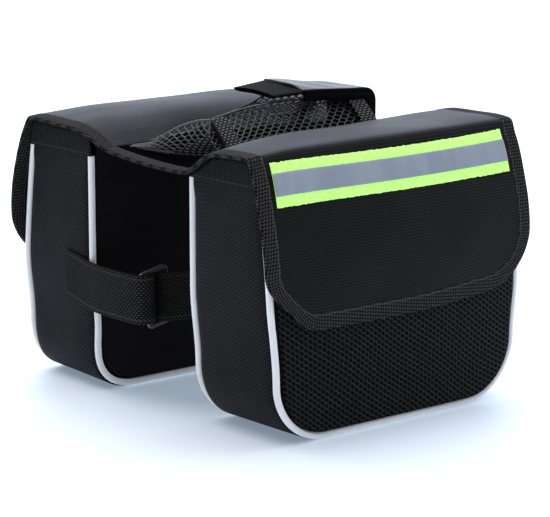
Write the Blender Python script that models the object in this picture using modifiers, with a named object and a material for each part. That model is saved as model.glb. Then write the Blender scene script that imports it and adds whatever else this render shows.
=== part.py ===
"""Saddle bag for a bicycle's top tube: two hollow fabric pouches joined by a bridge.

Metres, +Z up.  X runs along the pouches, the buckled strap is at the -X end, and the
pouches stand at -Y ("right") and +Y ("left") of the frame tube.  The origin is the
middle of the footprint, on the floor.
"""

import math

import bmesh
import bpy
import numpy as np
from mathutils import Matrix, Vector

# Pouches
POUCH_LENGTH = 0.189         # between the gusset's end faces near the mouth
POUCH_TAPER = 0.0035         # each end draws in by this towards the floor
TAPER_HEIGHT = 0.080         # above this height the ends stand at full length
POUCH_HEIGHT = 0.153         # mouth above the floor
POUCH_DEPTH = 0.0684         # inner piping to outer piping, low on the pouch
MOUTH_DEPTH = 0.0575         # the same at the mouth
DEPTH_HEIGHT = 0.060         # up to this height the pouch keeps its full depth
POUCH_GAP = 0.092            # between the two inner pipings
CORNER_RADIUS = 0.035        # rounded bottom corners
CLOTH = 0.002                # padded fabric wall
CLEARANCE = 0.0003           # gap between neighbouring pieces
PANEL_BULGE = 0.003          # outer panel's swell at its middle
PIPING_RADIUS = 0.002
PIPING_PROUD = 0.0006        # how far the piping stands out of the gusset's ends
HEM_HEIGHT = 0.0115          # ribbed tape at the mouth, on the gusset's ends
HEM_CLOTH = 0.0012
MESH_CLOTH = 0.0012          # netting over the outer panel
MESH_HEIGHT = 0.098          # top of that netting, under the flap

# Flaps and top panels
FLAP_LENGTH = 0.199
FLAP_HEM_HEIGHT = 0.0635     # flap's lower edge above the floor
FLAP_HEM_RISE = 0.005        # the edge rises by this towards +X
FLAP_CORNER = 0.035
FLAP_SLACK = 0.0036          # how far the flap swings clear of the panel
FOLD_RISE = 0.007            # fold between flap and top panel, above the pouch's mouth
END_DROOP = 0.0025           # the fold hangs by this at the two ends
CROWN_RISE = 0.0033          # top panel's crown above the fold
RAISE_START = -0.010         # the right pouch's top comes up to its raised end
RAISE_END = 0.080            # between these two places along X
SEAM_SPREAD = 0.072          # between the two seams on the bridge
SEAM_DROP = 0.006            # those seams below the pouch's mouth
BINDING_WIDTH = 0.010
BINDING = 0.0026             # edge binding folded over the cloth
TAPE_LENGTH = 0.1735
TAPE_HEIGHT = 0.025
TAPE_DROP = 0.0031           # the tape's upper edge below the fold
TAPE_CLOTH = 0.001
SILVER_HEIGHT = 0.013
SILVER_CLOTH = 0.0006

# Bridge, which sags and sways at the strap's end
BRIDGE_SAG = 0.0012
SWAY = 0.009
SWAY_TILT = 0.002
SWAY_START = 0.020
SWAY_END = 0.100
SWAY_FADE = 0.040

# Net pocket on the bridge
POCKET_FRONT = -0.066        # base corner by the strip, at -X
POCKET_BACK = 0.066
POCKET_BASE = 0.066          # width at the bridge
POCKET_TOP = 0.0285          # width under the lid
POCKET_HEIGHT = 0.0245       # lid's underside above the bridge
NET_KNEE = 0.78              # share of the height where the net's lean ends
NET_CLOTH = 0.001
NET_BULGE = 0.0015
STRIP_WIDTH = 0.012
STRIP_INSET = 0.006
STRIP_CLOTH = 0.0012
LID_START = 0.013            # where the lid's free end becomes the pull tab
LID_TAB = 0.024
LID_WIDTH = 0.0335
LID_CORNER = 0.007
LID_BAND = 0.0065
LID_BAND_CLOTH = 0.0015
TAB_CLOTH = 0.0026
TAB_DROP = 0.0022            # the tab's end hangs by this
LID_CROWN = 0.0012           # the lid's swell across its width
LID_RISE = 0.0038            # its free end stands this much higher, over LID_SLOPE
LID_TWIST = 0.0016           # there its left edge stands this much higher, its right lower
LID_SLOPE = 0.050
NET_SLUMP = 0.007            # how far the front net's foot hangs forward

# Strap and its ring, between the pouches at the -X end
STRAP_WIDTH = 0.029
STRAP_CLOTH = 0.0016
STRAP_HEIGHT = 0.0645        # middle of the strap above the floor, at the ring
RING_WIDTH = 0.020
RING_BAR = 0.003
RING_PLATE = 0.0024
RING_LEAN = math.radians(12)
RING_SLACK = 0.0015          # room above and below the strap inside the ring
RING_INSET = 0.012           # ring's middle inside the pouches' ends
LEFT_RISE = 0.005            # sewn end of the left strap above the ring's middle
RIGHT_RISE = 0.009
RIGHT_SEWN = 0.0525          # sewn end of the right strap inside the pouch's end

# Heights that follow the pouch's
FOLD_HEIGHT = POUCH_HEIGHT + FOLD_RISE
SEAM_HEIGHT = POUCH_HEIGHT - SEAM_DROP

# Facets
SIDE_STEPS = 4
CORNER_STEPS = 6
BASE_STEPS = 4
PANEL_STEPS = 8

# Slack of the hanging flap: height from hem to fold, and stand-off as a share of FLAP_SLACK
FLAP_ROWS = (
    # height, slack
    (0.00, 0.00),
    (0.20, 0.45),
    (0.40, 0.95),
    (0.56, 1.00),
    (0.74, 0.50),
    (0.86, 0.00),
    (0.95, -0.65),
)

# Top panel from the fold to the bridge seam: how far out from the seam, and the height
# above the seam as a share of the crown's, at the middle, at the ends, and at the right
# pouch's +X end, which stands up flat
TOP_ROWS = (
    # out, middle, end, raised end
    (1.00, 0.83, 0.70, 0.87),
    (0.95, 0.93, 0.735, 0.96),
    (0.80, 0.985, 0.73, 1.01),
    (0.60, 1.00, 0.69, 1.00),
    (0.40, 0.94, 0.60, 1.00),
    (0.27, 0.81, 0.43, 0.97),
    (0.15, 0.55, 0.23, 0.82),
    (0.06, 0.24, 0.08, 0.42),
    (0.00, 0.00, 0.00, 0.00),
)

# Rim of the net pocket: place along the pocket, and the net's height as a share of
# POCKET_HEIGHT on the right side and on the left
RIM_ROWS = (
    # along, right, left
    (0.00, 0.76, 0.24),
    (0.14, 0.82, 0.30),
    (0.30, 0.90, 0.42),
    (0.44, 0.96, 0.66),
    (0.58, 0.95, 0.92),
    (0.93, 0.95, 0.95),
    (1.00, 0.78, 0.78),
)

# Free run of the left strap, sewn on the left gusset: share of the way along X to the
# ring, share of the half gap between the pouches, share of LEFT_RISE
LEFT_RUN = (
    # along, across, rise
    (0.00, 1.49, 1.00),
    (0.00, 1.24, 0.60),
    (-0.05, 1.00, 0.24),
    (-0.16, 0.74, 0.12),
    (-0.20, 0.43, 0.08),
    (-0.18, 0.17, 0.04),
)

# Right strap, sewn on the right pouch's inner panel: shares of the way from the ring's
# middle to the sewn end, and of RIGHT_RISE
RIGHT_RUN = (
    # along, across, rise
    (1.000, 1.000, 1.00),
    (0.762, 1.000, 1.00),
    (0.571, 0.990, 0.98),
    (0.417, 0.917, 0.89),
    (0.274, 0.711, 0.67),
    (0.155, 0.459, 0.39),
    (0.071, 0.252, 0.17),
    (0.019, 0.092, 0.04),
    (0.010, -0.023, 0.00),
    (0.029, -0.138, 0.00),
    (0.095, -0.229, 0.00),
)

SIDES = {"left": 1.0, "right": -1.0}

FINISHES = {
    # name: colour, roughness
    "pouch_fabric": ((0.022, 0.022, 0.026), 0.75),
    "grosgrain": ((0.030, 0.030, 0.033), 0.80),
    "webbing": ((0.028, 0.028, 0.030), 0.85),
    "piping": ((0.86, 0.88, 0.92), 0.35),
    "netting": ((0.040, 0.040, 0.044), 0.70),
    "neon_tape": ((0.45, 0.95, 0.18), 0.55),
    "silver_film": ((0.26, 0.31, 0.38), 0.30),
    "plastic": ((0.045, 0.047, 0.050), 0.40),
}


def clear_scene():
    for item in list(bpy.data.objects):
        bpy.data.objects.remove(item, do_unlink=True)


def make_finish(name):
    colour, roughness = FINISHES[name]
    finish = bpy.data.materials.new(name)
    finish.use_nodes = True
    shader = finish.node_tree.nodes["Principled BSDF"]
    shader.inputs["Base Color"].default_value = (*colour, 1.0)
    shader.inputs["Roughness"].default_value = roughness
    shader.inputs["Metallic"].default_value = 0.0
    return finish


def smooth(share):
    share = min(max(share, 0.0), 1.0)
    return share * share * (3.0 - 2.0 * share)


def spline(knots, values, place):
    """Cubic through the values, each slope taken from the two neighbours."""
    last = len(knots) - 1
    index = min(max(int(np.searchsorted(knots, place)) - 1, 0), last - 1)
    start, end = knots[index], knots[index + 1]

    def slope(at):
        before, after = max(at - 1, 0), min(at + 1, last)
        return (values[after] - values[before]) / (knots[after] - knots[before])

    span = end - start
    share = (place - start) / span
    square, cube = share * share, share ** 3
    return (values[index] * (2 * cube - 3 * square + 1)
            + values[index + 1] * (3 * square - 2 * cube)
            + slope(index) * span * (cube - 2 * square + share)
            + slope(index + 1) * span * (cube - square))


def steps(count, start=0.0, end=1.0):
    return [start + (end - start) * step / count for step in range(count + 1)]


# Pieces are open surfaces given a wall

def add_object(name, mesh, finish, collection):
    item = bpy.data.objects.new(name, mesh)
    mesh.materials.clear()
    mesh.materials.append(finish)
    mesh.shade_smooth()
    mesh.set_sharp_from_angle(angle=math.radians(35))
    collection.objects.link(item)
    return item


def add_wall(item, wall, offset):
    solidify = item.modifiers.new("wall", "SOLIDIFY")
    solidify.thickness = wall
    solidify.offset = offset


def face_away(shape, inside):
    """Turns the faces so that they look away from a point inside."""
    shape.normal_update()
    outward = sum(face.normal.dot(face.calc_center_median() - inside) * face.calc_area()
                  for face in shape.faces)
    if outward < 0.0:
        bmesh.ops.reverse_faces(shape, faces=shape.faces)


def add_sheet(bag, name, finish, place, columns, rows, wall, inside, offset=-1.0):
    """A grid whose point (column, row) stands at place(column, row), given a wall."""
    shape = bmesh.new()
    bmesh.ops.create_grid(shape, x_segments=columns, y_segments=rows, size=0.5)
    for vertex in shape.verts:
        column = round((vertex.co.x + 0.5) * columns)
        row = round((vertex.co.y + 0.5) * rows)
        vertex.co = place(column, row)
    face_away(shape, Vector(inside))
    mesh = bpy.data.meshes.new(name)
    shape.to_mesh(mesh)
    shape.free()
    item = add_object(name, mesh, bag["finishes"][finish], bag["collection"])
    add_wall(item, wall, offset)
    return item


def add_tube(bag, name, finish, points, radius):
    curve = bpy.data.curves.new(name, "CURVE")
    curve.dimensions = "3D"
    curve.bevel_depth = radius
    curve.bevel_resolution = 2
    curve.use_fill_caps = True
    line = curve.splines.new("POLY")
    line.points.add(len(points) - 1)
    for target, point in zip(line.points, points):
        target.co = (*point, 1.0)
    curve.materials.append(bag["finishes"][finish])
    item = bpy.data.objects.new(name, curve)
    bag["collection"].objects.link(item)
    return item


# The pouch's outline

def pouch_half(height):
    """Half the pouch's length at a height on its straight ends."""
    rise = (height - CORNER_RADIUS) / (TAPER_HEIGHT - CORNER_RADIUS)
    return POUCH_LENGTH / 2 - POUCH_TAPER * (1.0 - smooth(rise))


def pouch_depth(height):
    """Inner piping to outer piping at a height."""
    share = max(height - DEPTH_HEIGHT, 0.0) / (POUCH_HEIGHT - DEPTH_HEIGHT)
    return POUCH_DEPTH - (POUCH_DEPTH - MOUTH_DEPTH) * share ** 1.5


def inner_face():
    return POUCH_GAP / 2


def outer_face(height):
    return inner_face() + pouch_depth(height)


def u_outline(inset, top):
    """(x, z) down the -X end, round the corners and up the +X end, set in by inset."""
    radius = CORNER_RADIUS - inset
    end = [(-(pouch_half(z) - inset), z) for z in steps(SIDE_STEPS, top, CORNER_RADIUS)]
    centre = pouch_half(CORNER_RADIUS) - CORNER_RADIUS
    for angle in steps(CORNER_STEPS, 0.0, math.pi / 2)[1:]:
        end.append((-centre - radius * math.cos(angle), CORNER_RADIUS - radius * math.sin(angle)))
    base = [(x, inset) for x in steps(BASE_STEPS, -centre, centre)[1:-1]]
    return end + base + [(-x, z) for x, z in reversed(end)]


def piping_line(top):
    """The piping's centre line: proud of the ends, clear of the floor."""
    flush = u_outline(PIPING_RADIUS + CLEARANCE, top)
    proud = u_outline(PIPING_RADIUS - PIPING_PROUD, top)
    line = []
    for (x_flush, z_flush), (x_proud, z_proud) in zip(flush, proud):
        share = smooth(z_flush / CORNER_RADIUS)
        line.append((x_flush + (x_proud - x_flush) * share, z_flush + (z_proud - z_flush) * share))
    return line


def panel_row(share, top):
    """Half length and height of a face panel's row: 0 at the floor, 1 at its top."""
    edge = 2 * PIPING_RADIUS + 3 * CLEARANCE
    radius = CORNER_RADIUS - edge
    centre = pouch_half(CORNER_RADIUS) - CORNER_RADIUS
    turn = CORNER_STEPS / (CORNER_STEPS + SIDE_STEPS)
    if share <= turn:
        angle = math.pi / 2 * (1.0 - share / turn)
        return centre + radius * math.cos(angle), CORNER_RADIUS - radius * math.sin(angle)
    height = CORNER_RADIUS + (top - CORNER_RADIUS) * (share - turn) / (1.0 - turn)
    return pouch_half(height) - edge, height


def panel_bulge(along, height):
    """Swell of the outer panel: along runs -1 to 1, none at its rim."""
    return PANEL_BULGE * (1.0 - along ** 2) * math.sin(math.pi * height / POUCH_HEIGHT)


# The cover: flap, fold and top panel as one bent surface

def flap_out(along, share):
    """The flap's outer face beyond the pouch's outer piping plane."""
    stack = CLOTH / 2 + MESH_CLOTH + CLOTH + 3 * CLEARANCE
    shares = [row[0] for row in FLAP_ROWS]
    slack = [row[1] for row in FLAP_ROWS]
    return (stack + PANEL_BULGE * (1.0 - along ** 2) * (1.0 - share)
            + FLAP_SLACK * spline(shares, slack, share))


def crown_height():
    return FOLD_HEIGHT + CROWN_RISE - SEAM_HEIGHT


def cover_rows(side, x):
    """(y, z) of the cover's section at x, from the flap's hem to the bridge seam."""
    along = x / (FLAP_LENGTH / 2)
    end = abs(along) ** 4
    raised = 0.0 if side > 0 else smooth((x - RAISE_START) / (RAISE_END - RAISE_START))
    hem = FLAP_HEM_HEIGHT
    fold = FOLD_HEIGHT - END_DROOP * end * (1.0 - raised)
    rows = []
    for share, _ in FLAP_ROWS:
        height = hem + (fold - hem) * share
        rows.append((outer_face(height) + flap_out(along, share), height))
    fold_out = rows[-1][0] - (FOLD_HEIGHT - rows[-1][1]) / 2
    seam = SEAM_SPREAD / 2
    for out, middle, at_end, at_raised in TOP_ROWS:
        rise = middle + (at_end - middle) * end
        rise += (at_raised - rise) * raised
        rows.append((seam + (fold_out - seam) * out, SEAM_HEIGHT + crown_height() * rise))
    return rows


def cover_knots():
    """Running length along the middle section, which measures the cover's height."""
    rows = cover_rows(SIDES["left"], 0.0)
    lengths = [0.0]
    for (y0, z0), (y1, z1) in zip(rows, rows[1:]):
        lengths.append(lengths[-1] + math.hypot(y1 - y0, z1 - z0))
    return lengths


KNOTS = cover_knots()
COVER_REACH = KNOTS[-1]


def settle(x, y, z):
    """Sway and tilt of the saddle towards the strap's end, fading out over the pouches."""
    share = smooth((-x - SWAY_START) / (SWAY_END - SWAY_START))
    share *= 1.0 - smooth((abs(y) - SEAM_SPREAD / 2) / SWAY_FADE)
    return Vector((x, y - SWAY * share, z + SWAY_TILT * share * y / (SEAM_SPREAD / 2)))


def cover_point(side, x, reach):
    """A point on the cover's outer surface: reach runs from the hem up and over."""
    rows = cover_rows(side, x)
    y = spline(KNOTS, [row[0] for row in rows], reach)
    z = spline(KNOTS, [row[1] for row in rows], reach)
    rise = FLAP_HEM_RISE * smooth(x / (FLAP_LENGTH / 2)) * smooth(1.0 - reach / FLAP_HEM_HEIGHT)
    point = settle(x, side * y, z)
    point.z += rise
    return point


def cover_offset(side, x, reach, lift):
    """The same point lifted off the surface along its normal."""
    step = 0.0005
    along = cover_point(side, x + step, reach) - cover_point(side, x - step, reach)
    up = cover_point(side, x, reach + step) - cover_point(side, x, reach - step)
    outward = along.cross(up).normalized() * side * -1.0
    return cover_point(side, x, reach) + outward * lift


def under_cover(side, x, y):
    """Height just under the cover's binding over a point of the top panel."""
    top_start = KNOTS[len(FLAP_ROWS)]
    drop = BINDING + 2 * CLEARANCE
    points = [cover_offset(side, x, reach, -drop) for reach in steps(30, top_start, COVER_REACH)]
    points.sort(key=lambda point: abs(point.y))
    return float(np.interp(abs(y), [abs(p.y) for p in points], [p.z for p in points]))


def mouth_height(side, end, y):
    """Top of the pouch's end wall: the mouth, or the cover's underside where it droops."""
    places = (POUCH_LENGTH / 2 - CLOTH, POUCH_LENGTH / 2 + HEM_CLOTH + 2 * CLEARANCE)
    return min([POUCH_HEIGHT] + [under_cover(side, end * x, y) for x in places])


# Pouch pieces

def add_pouch(bag, word, side):
    inside = (0.0, side * (inner_face() + POUCH_DEPTH / 2), POUCH_HEIGHT / 2)
    edge = PIPING_RADIUS + CLEARANCE
    outline_count = len(u_outline(0.0, POUCH_HEIGHT)) - 1
    gusset_rows = 2

    def gusset_place(column, row):
        share = row / gusset_rows
        end = 1.0 if column > outline_count / 2 else -1.0
        near = inner_face() + edge
        top_y = near + (outer_face(POUCH_HEIGHT) - edge - near) * share
        top = mouth_height(side, end, side * top_y)
        x, z = u_outline(0.0, top)[column]
        return Vector((x, side * (near + (outer_face(z) - edge - near) * share), z))

    add_sheet(bag, f"gusset_{word}", "pouch_fabric", gusset_place, outline_count, gusset_rows,
              CLOTH, inside)

    panel_rows = CORNER_STEPS + SIDE_STEPS

    def inner_place(column, row):
        along = 2.0 * column / PANEL_STEPS - 1.0
        half, _ = panel_row(row / panel_rows, POUCH_HEIGHT)
        top = under_cover(side, along * half, side * (inner_face() - CLOTH / 2 - CLEARANCE))
        half, z = panel_row(row / panel_rows, top)
        return Vector((along * half, side * (inner_face() - CLOTH / 2), z))

    add_sheet(bag, f"inner_panel_{word}", "pouch_fabric", inner_place, PANEL_STEPS, panel_rows,
              CLOTH, inside)

    outer_top = POUCH_HEIGHT - HEM_HEIGHT / 2

    def outer_place(column, row):
        along = 2.0 * column / PANEL_STEPS - 1.0
        half, z = panel_row(row / panel_rows, outer_top)
        y = outer_face(z) + CLOTH / 2 + panel_bulge(along, z)
        return Vector((along * half, side * y, z))

    add_sheet(bag, f"outer_panel_{word}", "pouch_fabric", outer_place, PANEL_STEPS, panel_rows,
              CLOTH, inside)

    def mesh_place(column, row):
        along = 2.0 * column / PANEL_STEPS - 1.0
        half, z = panel_row(row / panel_rows, MESH_HEIGHT)
        y = outer_face(z) + CLOTH / 2 + panel_bulge(along, z) + CLEARANCE + MESH_CLOTH
        return Vector((along * half, side * y, z))

    add_sheet(bag, f"mesh_panel_{word}", "netting", mesh_place, PANEL_STEPS, panel_rows,
              MESH_CLOTH, inside)

    line = piping_line(POUCH_HEIGHT - HEM_HEIGHT)
    inner = [(x, side * inner_face(), z) for x, z in line]
    outer = [(x, side * outer_face(z), z) for x, z in line]
    add_tube(bag, f"inner_piping_{word}", "piping", inner, PIPING_RADIUS)
    add_tube(bag, f"outer_piping_{word}", "piping", outer, PIPING_RADIUS)

    for end_word, end in (("front", -1.0), ("rear", 1.0)):
        add_hem(bag, f"mouth_hem_{end_word}_{word}", side, end)


def add_hem(bag, name, side, end):
    """Ribbed tape across the top of one gusset end."""
    columns = 5
    low = POUCH_HEIGHT - HEM_HEIGHT + CLEARANCE
    reach = HEM_CLOTH + CLEARANCE

    def place(column, row):
        share = column / columns
        near = inner_face() - PIPING_RADIUS
        top_y = near + (outer_face(POUCH_HEIGHT) - near) * share
        top = mouth_height(side, end, side * top_y)
        z = low + (top - low) * row
        y = near + (outer_face(z) - CLEARANCE - near) * share
        return Vector((end * (pouch_half(z) + reach), side * y, z))

    inside = (0.0, side * (inner_face() + POUCH_DEPTH / 2), POUCH_HEIGHT / 2)
    add_sheet(bag, name, "grosgrain", place, columns, 1, HEM_CLOTH, inside)


# Cover pieces

def flap_half(reach, inset):
    """Half length of the cover at a height above its hem, with the rounded corners."""
    radius = FLAP_CORNER - inset
    half = FLAP_LENGTH / 2 - inset
    drop = FLAP_CORNER - reach
    if drop <= 0.0:
        return half
    return half - radius + math.sqrt(max(radius ** 2 - drop ** 2, 0.0))


def flap_stations(inset):
    """Heights above the hem of the cover's rows: close on the corner and the fold."""
    radius = FLAP_CORNER - inset
    turn = [FLAP_CORNER - radius * math.cos(angle)
            for angle in steps(CORNER_STEPS, 0.0, math.pi / 2)]
    fold_start, fold_end = KNOTS[len(FLAP_ROWS) - 1], KNOTS[len(FLAP_ROWS) + 1]
    face = steps(4, FLAP_CORNER, fold_start)[1:]
    fold = steps(2, fold_start, fold_end)[1:]
    top = steps(7, fold_end, COVER_REACH - CLEARANCE / 2)[1:]
    return turn + face + fold + top


def add_cover(bag, word, side):
    inside = (0.0, side * (inner_face() + POUCH_DEPTH / 2), POUCH_HEIGHT / 2)
    inset = BINDING_WIDTH + CLEARANCE
    stations = flap_stations(inset)

    def cloth_place(column, row):
        along = 2.0 * column / PANEL_STEPS - 1.0
        reach = stations[row]
        return cover_point(side, along * flap_half(reach, inset), reach)

    add_sheet(bag, f"cover_{word}", "pouch_fabric", cloth_place, PANEL_STEPS,
              len(stations) - 1, CLOTH, inside)
    add_binding(bag, word, side, inside)
    add_tape(bag, word, side, inside)


def binding_route(inset):
    """(x, reach) round the cover's edge from the seam at -X to the seam at +X."""
    end = [(-(FLAP_LENGTH / 2 - inset), reach) for reach in reversed(flap_stations(0.0))
           if reach > FLAP_CORNER]
    radius = FLAP_CORNER - inset
    centre = FLAP_LENGTH / 2 - FLAP_CORNER
    for angle in steps(CORNER_STEPS, 0.0, math.pi / 2):
        end.append((-centre - radius * math.cos(angle), FLAP_CORNER - radius * math.sin(angle)))
    hem = [(x, inset) for x in steps(BASE_STEPS, -centre, centre)[1:-1]]
    return end + hem + [(-x, reach) for x, reach in reversed(end)]


def add_binding(bag, word, side, inside):
    routes = [binding_route(0.0), binding_route(BINDING_WIDTH)]

    def place(column, row):
        x, reach = routes[row][column]
        return cover_offset(side, x, reach, CLEARANCE)

    add_sheet(bag, f"cover_binding_{word}", "grosgrain", place, len(routes[0]) - 1, 1,
              BINDING, inside)


def add_tape(bag, word, side, inside):
    """Neon tape with a silver film along its middle, across the top of the flap."""
    columns = 8
    middle = cover_rows(SIDES["left"], 0.0)
    top = float(np.interp(FOLD_HEIGHT - TAPE_DROP, [row[1] for row in middle[:len(FLAP_ROWS) + 1]],
                          KNOTS[:len(FLAP_ROWS) + 1]))

    def placed(height, lift):
        low = top - TAPE_HEIGHT / 2 - height / 2

        def place(column, row):
            x = TAPE_LENGTH * (column / columns - 0.5)
            return cover_offset(side, x, low + height * row / 3, lift)
        return place

    lift = CLEARANCE + TAPE_CLOTH
    add_sheet(bag, f"neon_tape_{word}", "neon_tape", placed(TAPE_HEIGHT, lift), columns, 3,
              TAPE_CLOTH, inside)
    lift += CLEARANCE + SILVER_CLOTH
    add_sheet(bag, f"silver_stripe_{word}", "silver_film", placed(SILVER_HEIGHT, lift), columns,
              3, SILVER_CLOTH, inside)


# Bridge and its end bindings

def bridge_point(x, y, lift=0.0):
    sag = BRIDGE_SAG * (1.0 - (2.0 * y / SEAM_SPREAD) ** 2)
    return settle(x, y, SEAM_HEIGHT - sag + lift)


def add_bridge(bag):
    half_width = SEAM_SPREAD / 2 - CLEARANCE
    half = FLAP_LENGTH / 2 - BINDING_WIDTH - CLEARANCE
    inside = (0.0, 0.0, 0.0)
    columns, rows = 10, 6

    def place(column, row):
        return bridge_point(half * (2.0 * column / columns - 1.0),
                            half_width * (2.0 * row / rows - 1.0))

    add_sheet(bag, "bridge", "pouch_fabric", place, columns, rows, CLOTH, inside)

    for word, end in (("front", -1.0), ("rear", 1.0)):
        def edge_place(column, row, end=end):
            x = end * (FLAP_LENGTH / 2 - BINDING_WIDTH * column)
            return bridge_point(x, half_width * (2.0 * row / rows - 1.0), CLEARANCE)

        add_sheet(bag, f"bridge_binding_{word}", "grosgrain", edge_place, 1, rows, BINDING, inside)


# Net pocket

def rim_share(along, side):
    column = 1 if side < 0.0 else 2
    return float(np.interp(along, [row[0] for row in RIM_ROWS],
                           [row[column] for row in RIM_ROWS]))


def net_point(side, x, rise, lift=0.0):
    """On a side of the net: it leans in from the bridge up to the knee, then stands."""
    lean = min(rise / NET_KNEE, 1.0)
    run = (POCKET_BASE - POCKET_TOP) / 2
    climb = POCKET_HEIGHT * NET_KNEE
    slant = math.hypot(run, climb)
    half = POCKET_BASE / 2 - run * lean + NET_BULGE * math.sin(math.pi * lean)
    base = bridge_point(x, side * POCKET_BASE / 2, CLEARANCE + NET_CLOTH)
    point = bridge_point(x, side * (half + lift * climb / slant))
    point.z = base.z + POCKET_HEIGHT * rise + lift * run / slant
    return point


def add_net(bag, name, place, columns, rows, inside):
    """Hexagonal netting: bricks whose courses zigzag, each inset to leave a hole."""
    shape = bmesh.new()
    zigzag = 0.17
    lines = []
    for line in range(columns + 1):
        points = []
        for knot in range(2 * rows + 1):
            swing = 0.0
            if 0 < line < columns:
                swing = zigzag if (knot + line) % 2 else -zigzag
            points.append(shape.verts.new(place((line + swing) / columns, knot / (2 * rows))))
        lines.append(points)
    cells = []
    for line in range(columns):
        start = line % 2
        spans = [(knot, min(knot + 2, 2 * rows)) for knot in range(start, 2 * rows, 2)]
        if start:
            spans.insert(0, (0, 1))
        for low, high in spans:
            first = [lines[line][knot] for knot in range(low, high + 1)]
            second = [lines[line + 1][knot] for knot in range(high, low - 1, -1)]
            cells.append(shape.faces.new(first + second))
    shape.normal_update()
    thread = NET_CLOTH * 0.55
    bmesh.ops.inset_individual(shape, faces=cells, thickness=thread)
    bmesh.ops.delete(shape, geom=cells, context="FACES_ONLY")
    face_away(shape, Vector(inside))
    mesh = bpy.data.meshes.new(name)
    shape.to_mesh(mesh)
    shape.free()
    item = add_object(name, mesh, bag["finishes"]["netting"], bag["collection"])
    add_wall(item, NET_CLOTH, 1.0)


def lid_back():
    """Outer face of the lid where it turns down behind the net."""
    return POCKET_BACK + NET_CLOTH + CLOTH + 2 * CLEARANCE


def pocket_x(along):
    net_end = lid_back() - LID_BAND - 2 * CLEARANCE
    return POCKET_FRONT + (net_end - POCKET_FRONT) * along


def add_pocket(bag):
    inside = (0.0, 0.0, SEAM_HEIGHT)
    for word, side in SIDES.items():
        def wall_place(along, rise, side=side):
            return net_point(side, pocket_x(along), rise * rim_share(along, side))

        add_net(bag, f"pocket_net_{word}", wall_place, 15, 2, inside)

    def end_place(across, rise):
        """The slumped end: high at the right corner, low at the left one."""
        right = net_point(-1.0, POCKET_FRONT, rise * rim_share(0.0, -1.0))
        left = net_point(1.0, POCKET_FRONT, rise * rim_share(0.0, 1.0))
        gap = Vector((-NET_CLOTH - CLEARANCE, 0.0, 0.0))
        lean = Vector((-NET_SLUMP * (1.0 - rise) * math.sin(math.pi * (0.15 + 0.85 * across)), 0.0, 0.0))
        return right.lerp(left, 0.02 + 0.96 * across) + gap + lean

    add_net(bag, "pocket_net_front", end_place, 5, 2, inside)

    strips = {"front": POCKET_FRONT + STRIP_INSET, "rear": POCKET_BACK - STRIP_INSET - STRIP_WIDTH}
    for word, side in SIDES.items():
        for end_word, start in strips.items():
            def strip_place(column, row, side=side, start=start):
                x = start + STRIP_WIDTH * column
                along = (x - POCKET_FRONT) / (POCKET_BACK - POCKET_FRONT)
                top = min(rim_share(along, side), NET_KNEE) - STRIP_CLOTH / POCKET_HEIGHT
                lift = NET_CLOTH + 3 * CLEARANCE + STRIP_CLOTH
                return net_point(side, x, top * row / 4, lift)

            add_sheet(bag, f"pocket_strip_{end_word}_{word}", "grosgrain", strip_place, 1, 4,
                      STRIP_CLOTH, inside)


# Lid: a top panel that turns down over the pocket's rear end

def lid_slope(x):
    """1 at the lid's free end, falling to 0 over its slope."""
    return 1.0 - smooth((x - LID_START) / LID_SLOPE)


def lid_route():
    """(x, z) of the lid's outer surface from its free end to the bridge."""
    low = SEAM_HEIGHT + CLEARANCE
    top = SEAM_HEIGHT + POCKET_HEIGHT + CLOTH + 4 * CLEARANCE
    back = lid_back()
    route = [(x, top + LID_RISE * lid_slope(x))
             for x in steps(5, LID_START + CLEARANCE, back - LID_CORNER)]
    for angle in steps(3, 0.0, math.pi / 2)[1:]:
        route.append((back - LID_CORNER + LID_CORNER * math.sin(angle),
                      top - LID_CORNER + LID_CORNER * math.cos(angle)))
    route += [(back, z) for z in steps(2, top - LID_CORNER, low)[1:]]
    return route


def add_lid(bag):
    route = lid_route()
    half = LID_WIDTH / 2
    inside = (0.02, 0.0, SEAM_HEIGHT)
    rows = 6

    def cloth_place(column, row):
        x, z = route[column]
        across = 2.0 * row / rows - 1.0
        crown = LID_CROWN * (1.0 - across ** 2) if column < 6 else 0.0
        twist = LID_TWIST * across * lid_slope(x)
        return Vector((x, across * half, z + crown + twist))

    add_sheet(bag, "pocket_lid", "pouch_fabric", cloth_place, len(route) - 1, rows, CLOTH, inside)

    for word, side in SIDES.items():
        def band_place(column, row, side=side):
            x, z = route[column]
            before, after = route[max(column - 1, 0)], route[min(column + 1, len(route) - 1)]
            along = Vector((after[0] - before[0], 0.0, after[1] - before[1])).normalized()
            inward = Vector((along.z, 0.0, -along.x))
            y = side * (half + CLEARANCE + LID_BAND_CLOTH)
            twist = LID_TWIST * side * lid_slope(x)
            return Vector((x, y, z + twist)) + inward * LID_BAND * row

        add_sheet(bag, f"lid_band_{word}", "grosgrain", band_place, len(route) - 1, 1,
                  LID_BAND_CLOTH, inside)

    tab_half = half + LID_BAND_CLOTH
    top = route[0][1]

    def tab_place(column, row):
        share = column / 4
        across = 2.0 * row / 2 - 1.0
        lift = LID_TWIST * across - TAB_DROP * share
        x = LID_START - 2 * CLEARANCE - LID_TAB * share
        return Vector((x, across * tab_half, top + lift))

    add_sheet(bag, "lid_tab", "webbing", tab_place, 4, 2, TAB_CLOTH, (0.0, 0.0, 0.0))


# Strap and ring

def ring_x():
    return -POUCH_LENGTH / 2 + RING_INSET


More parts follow.
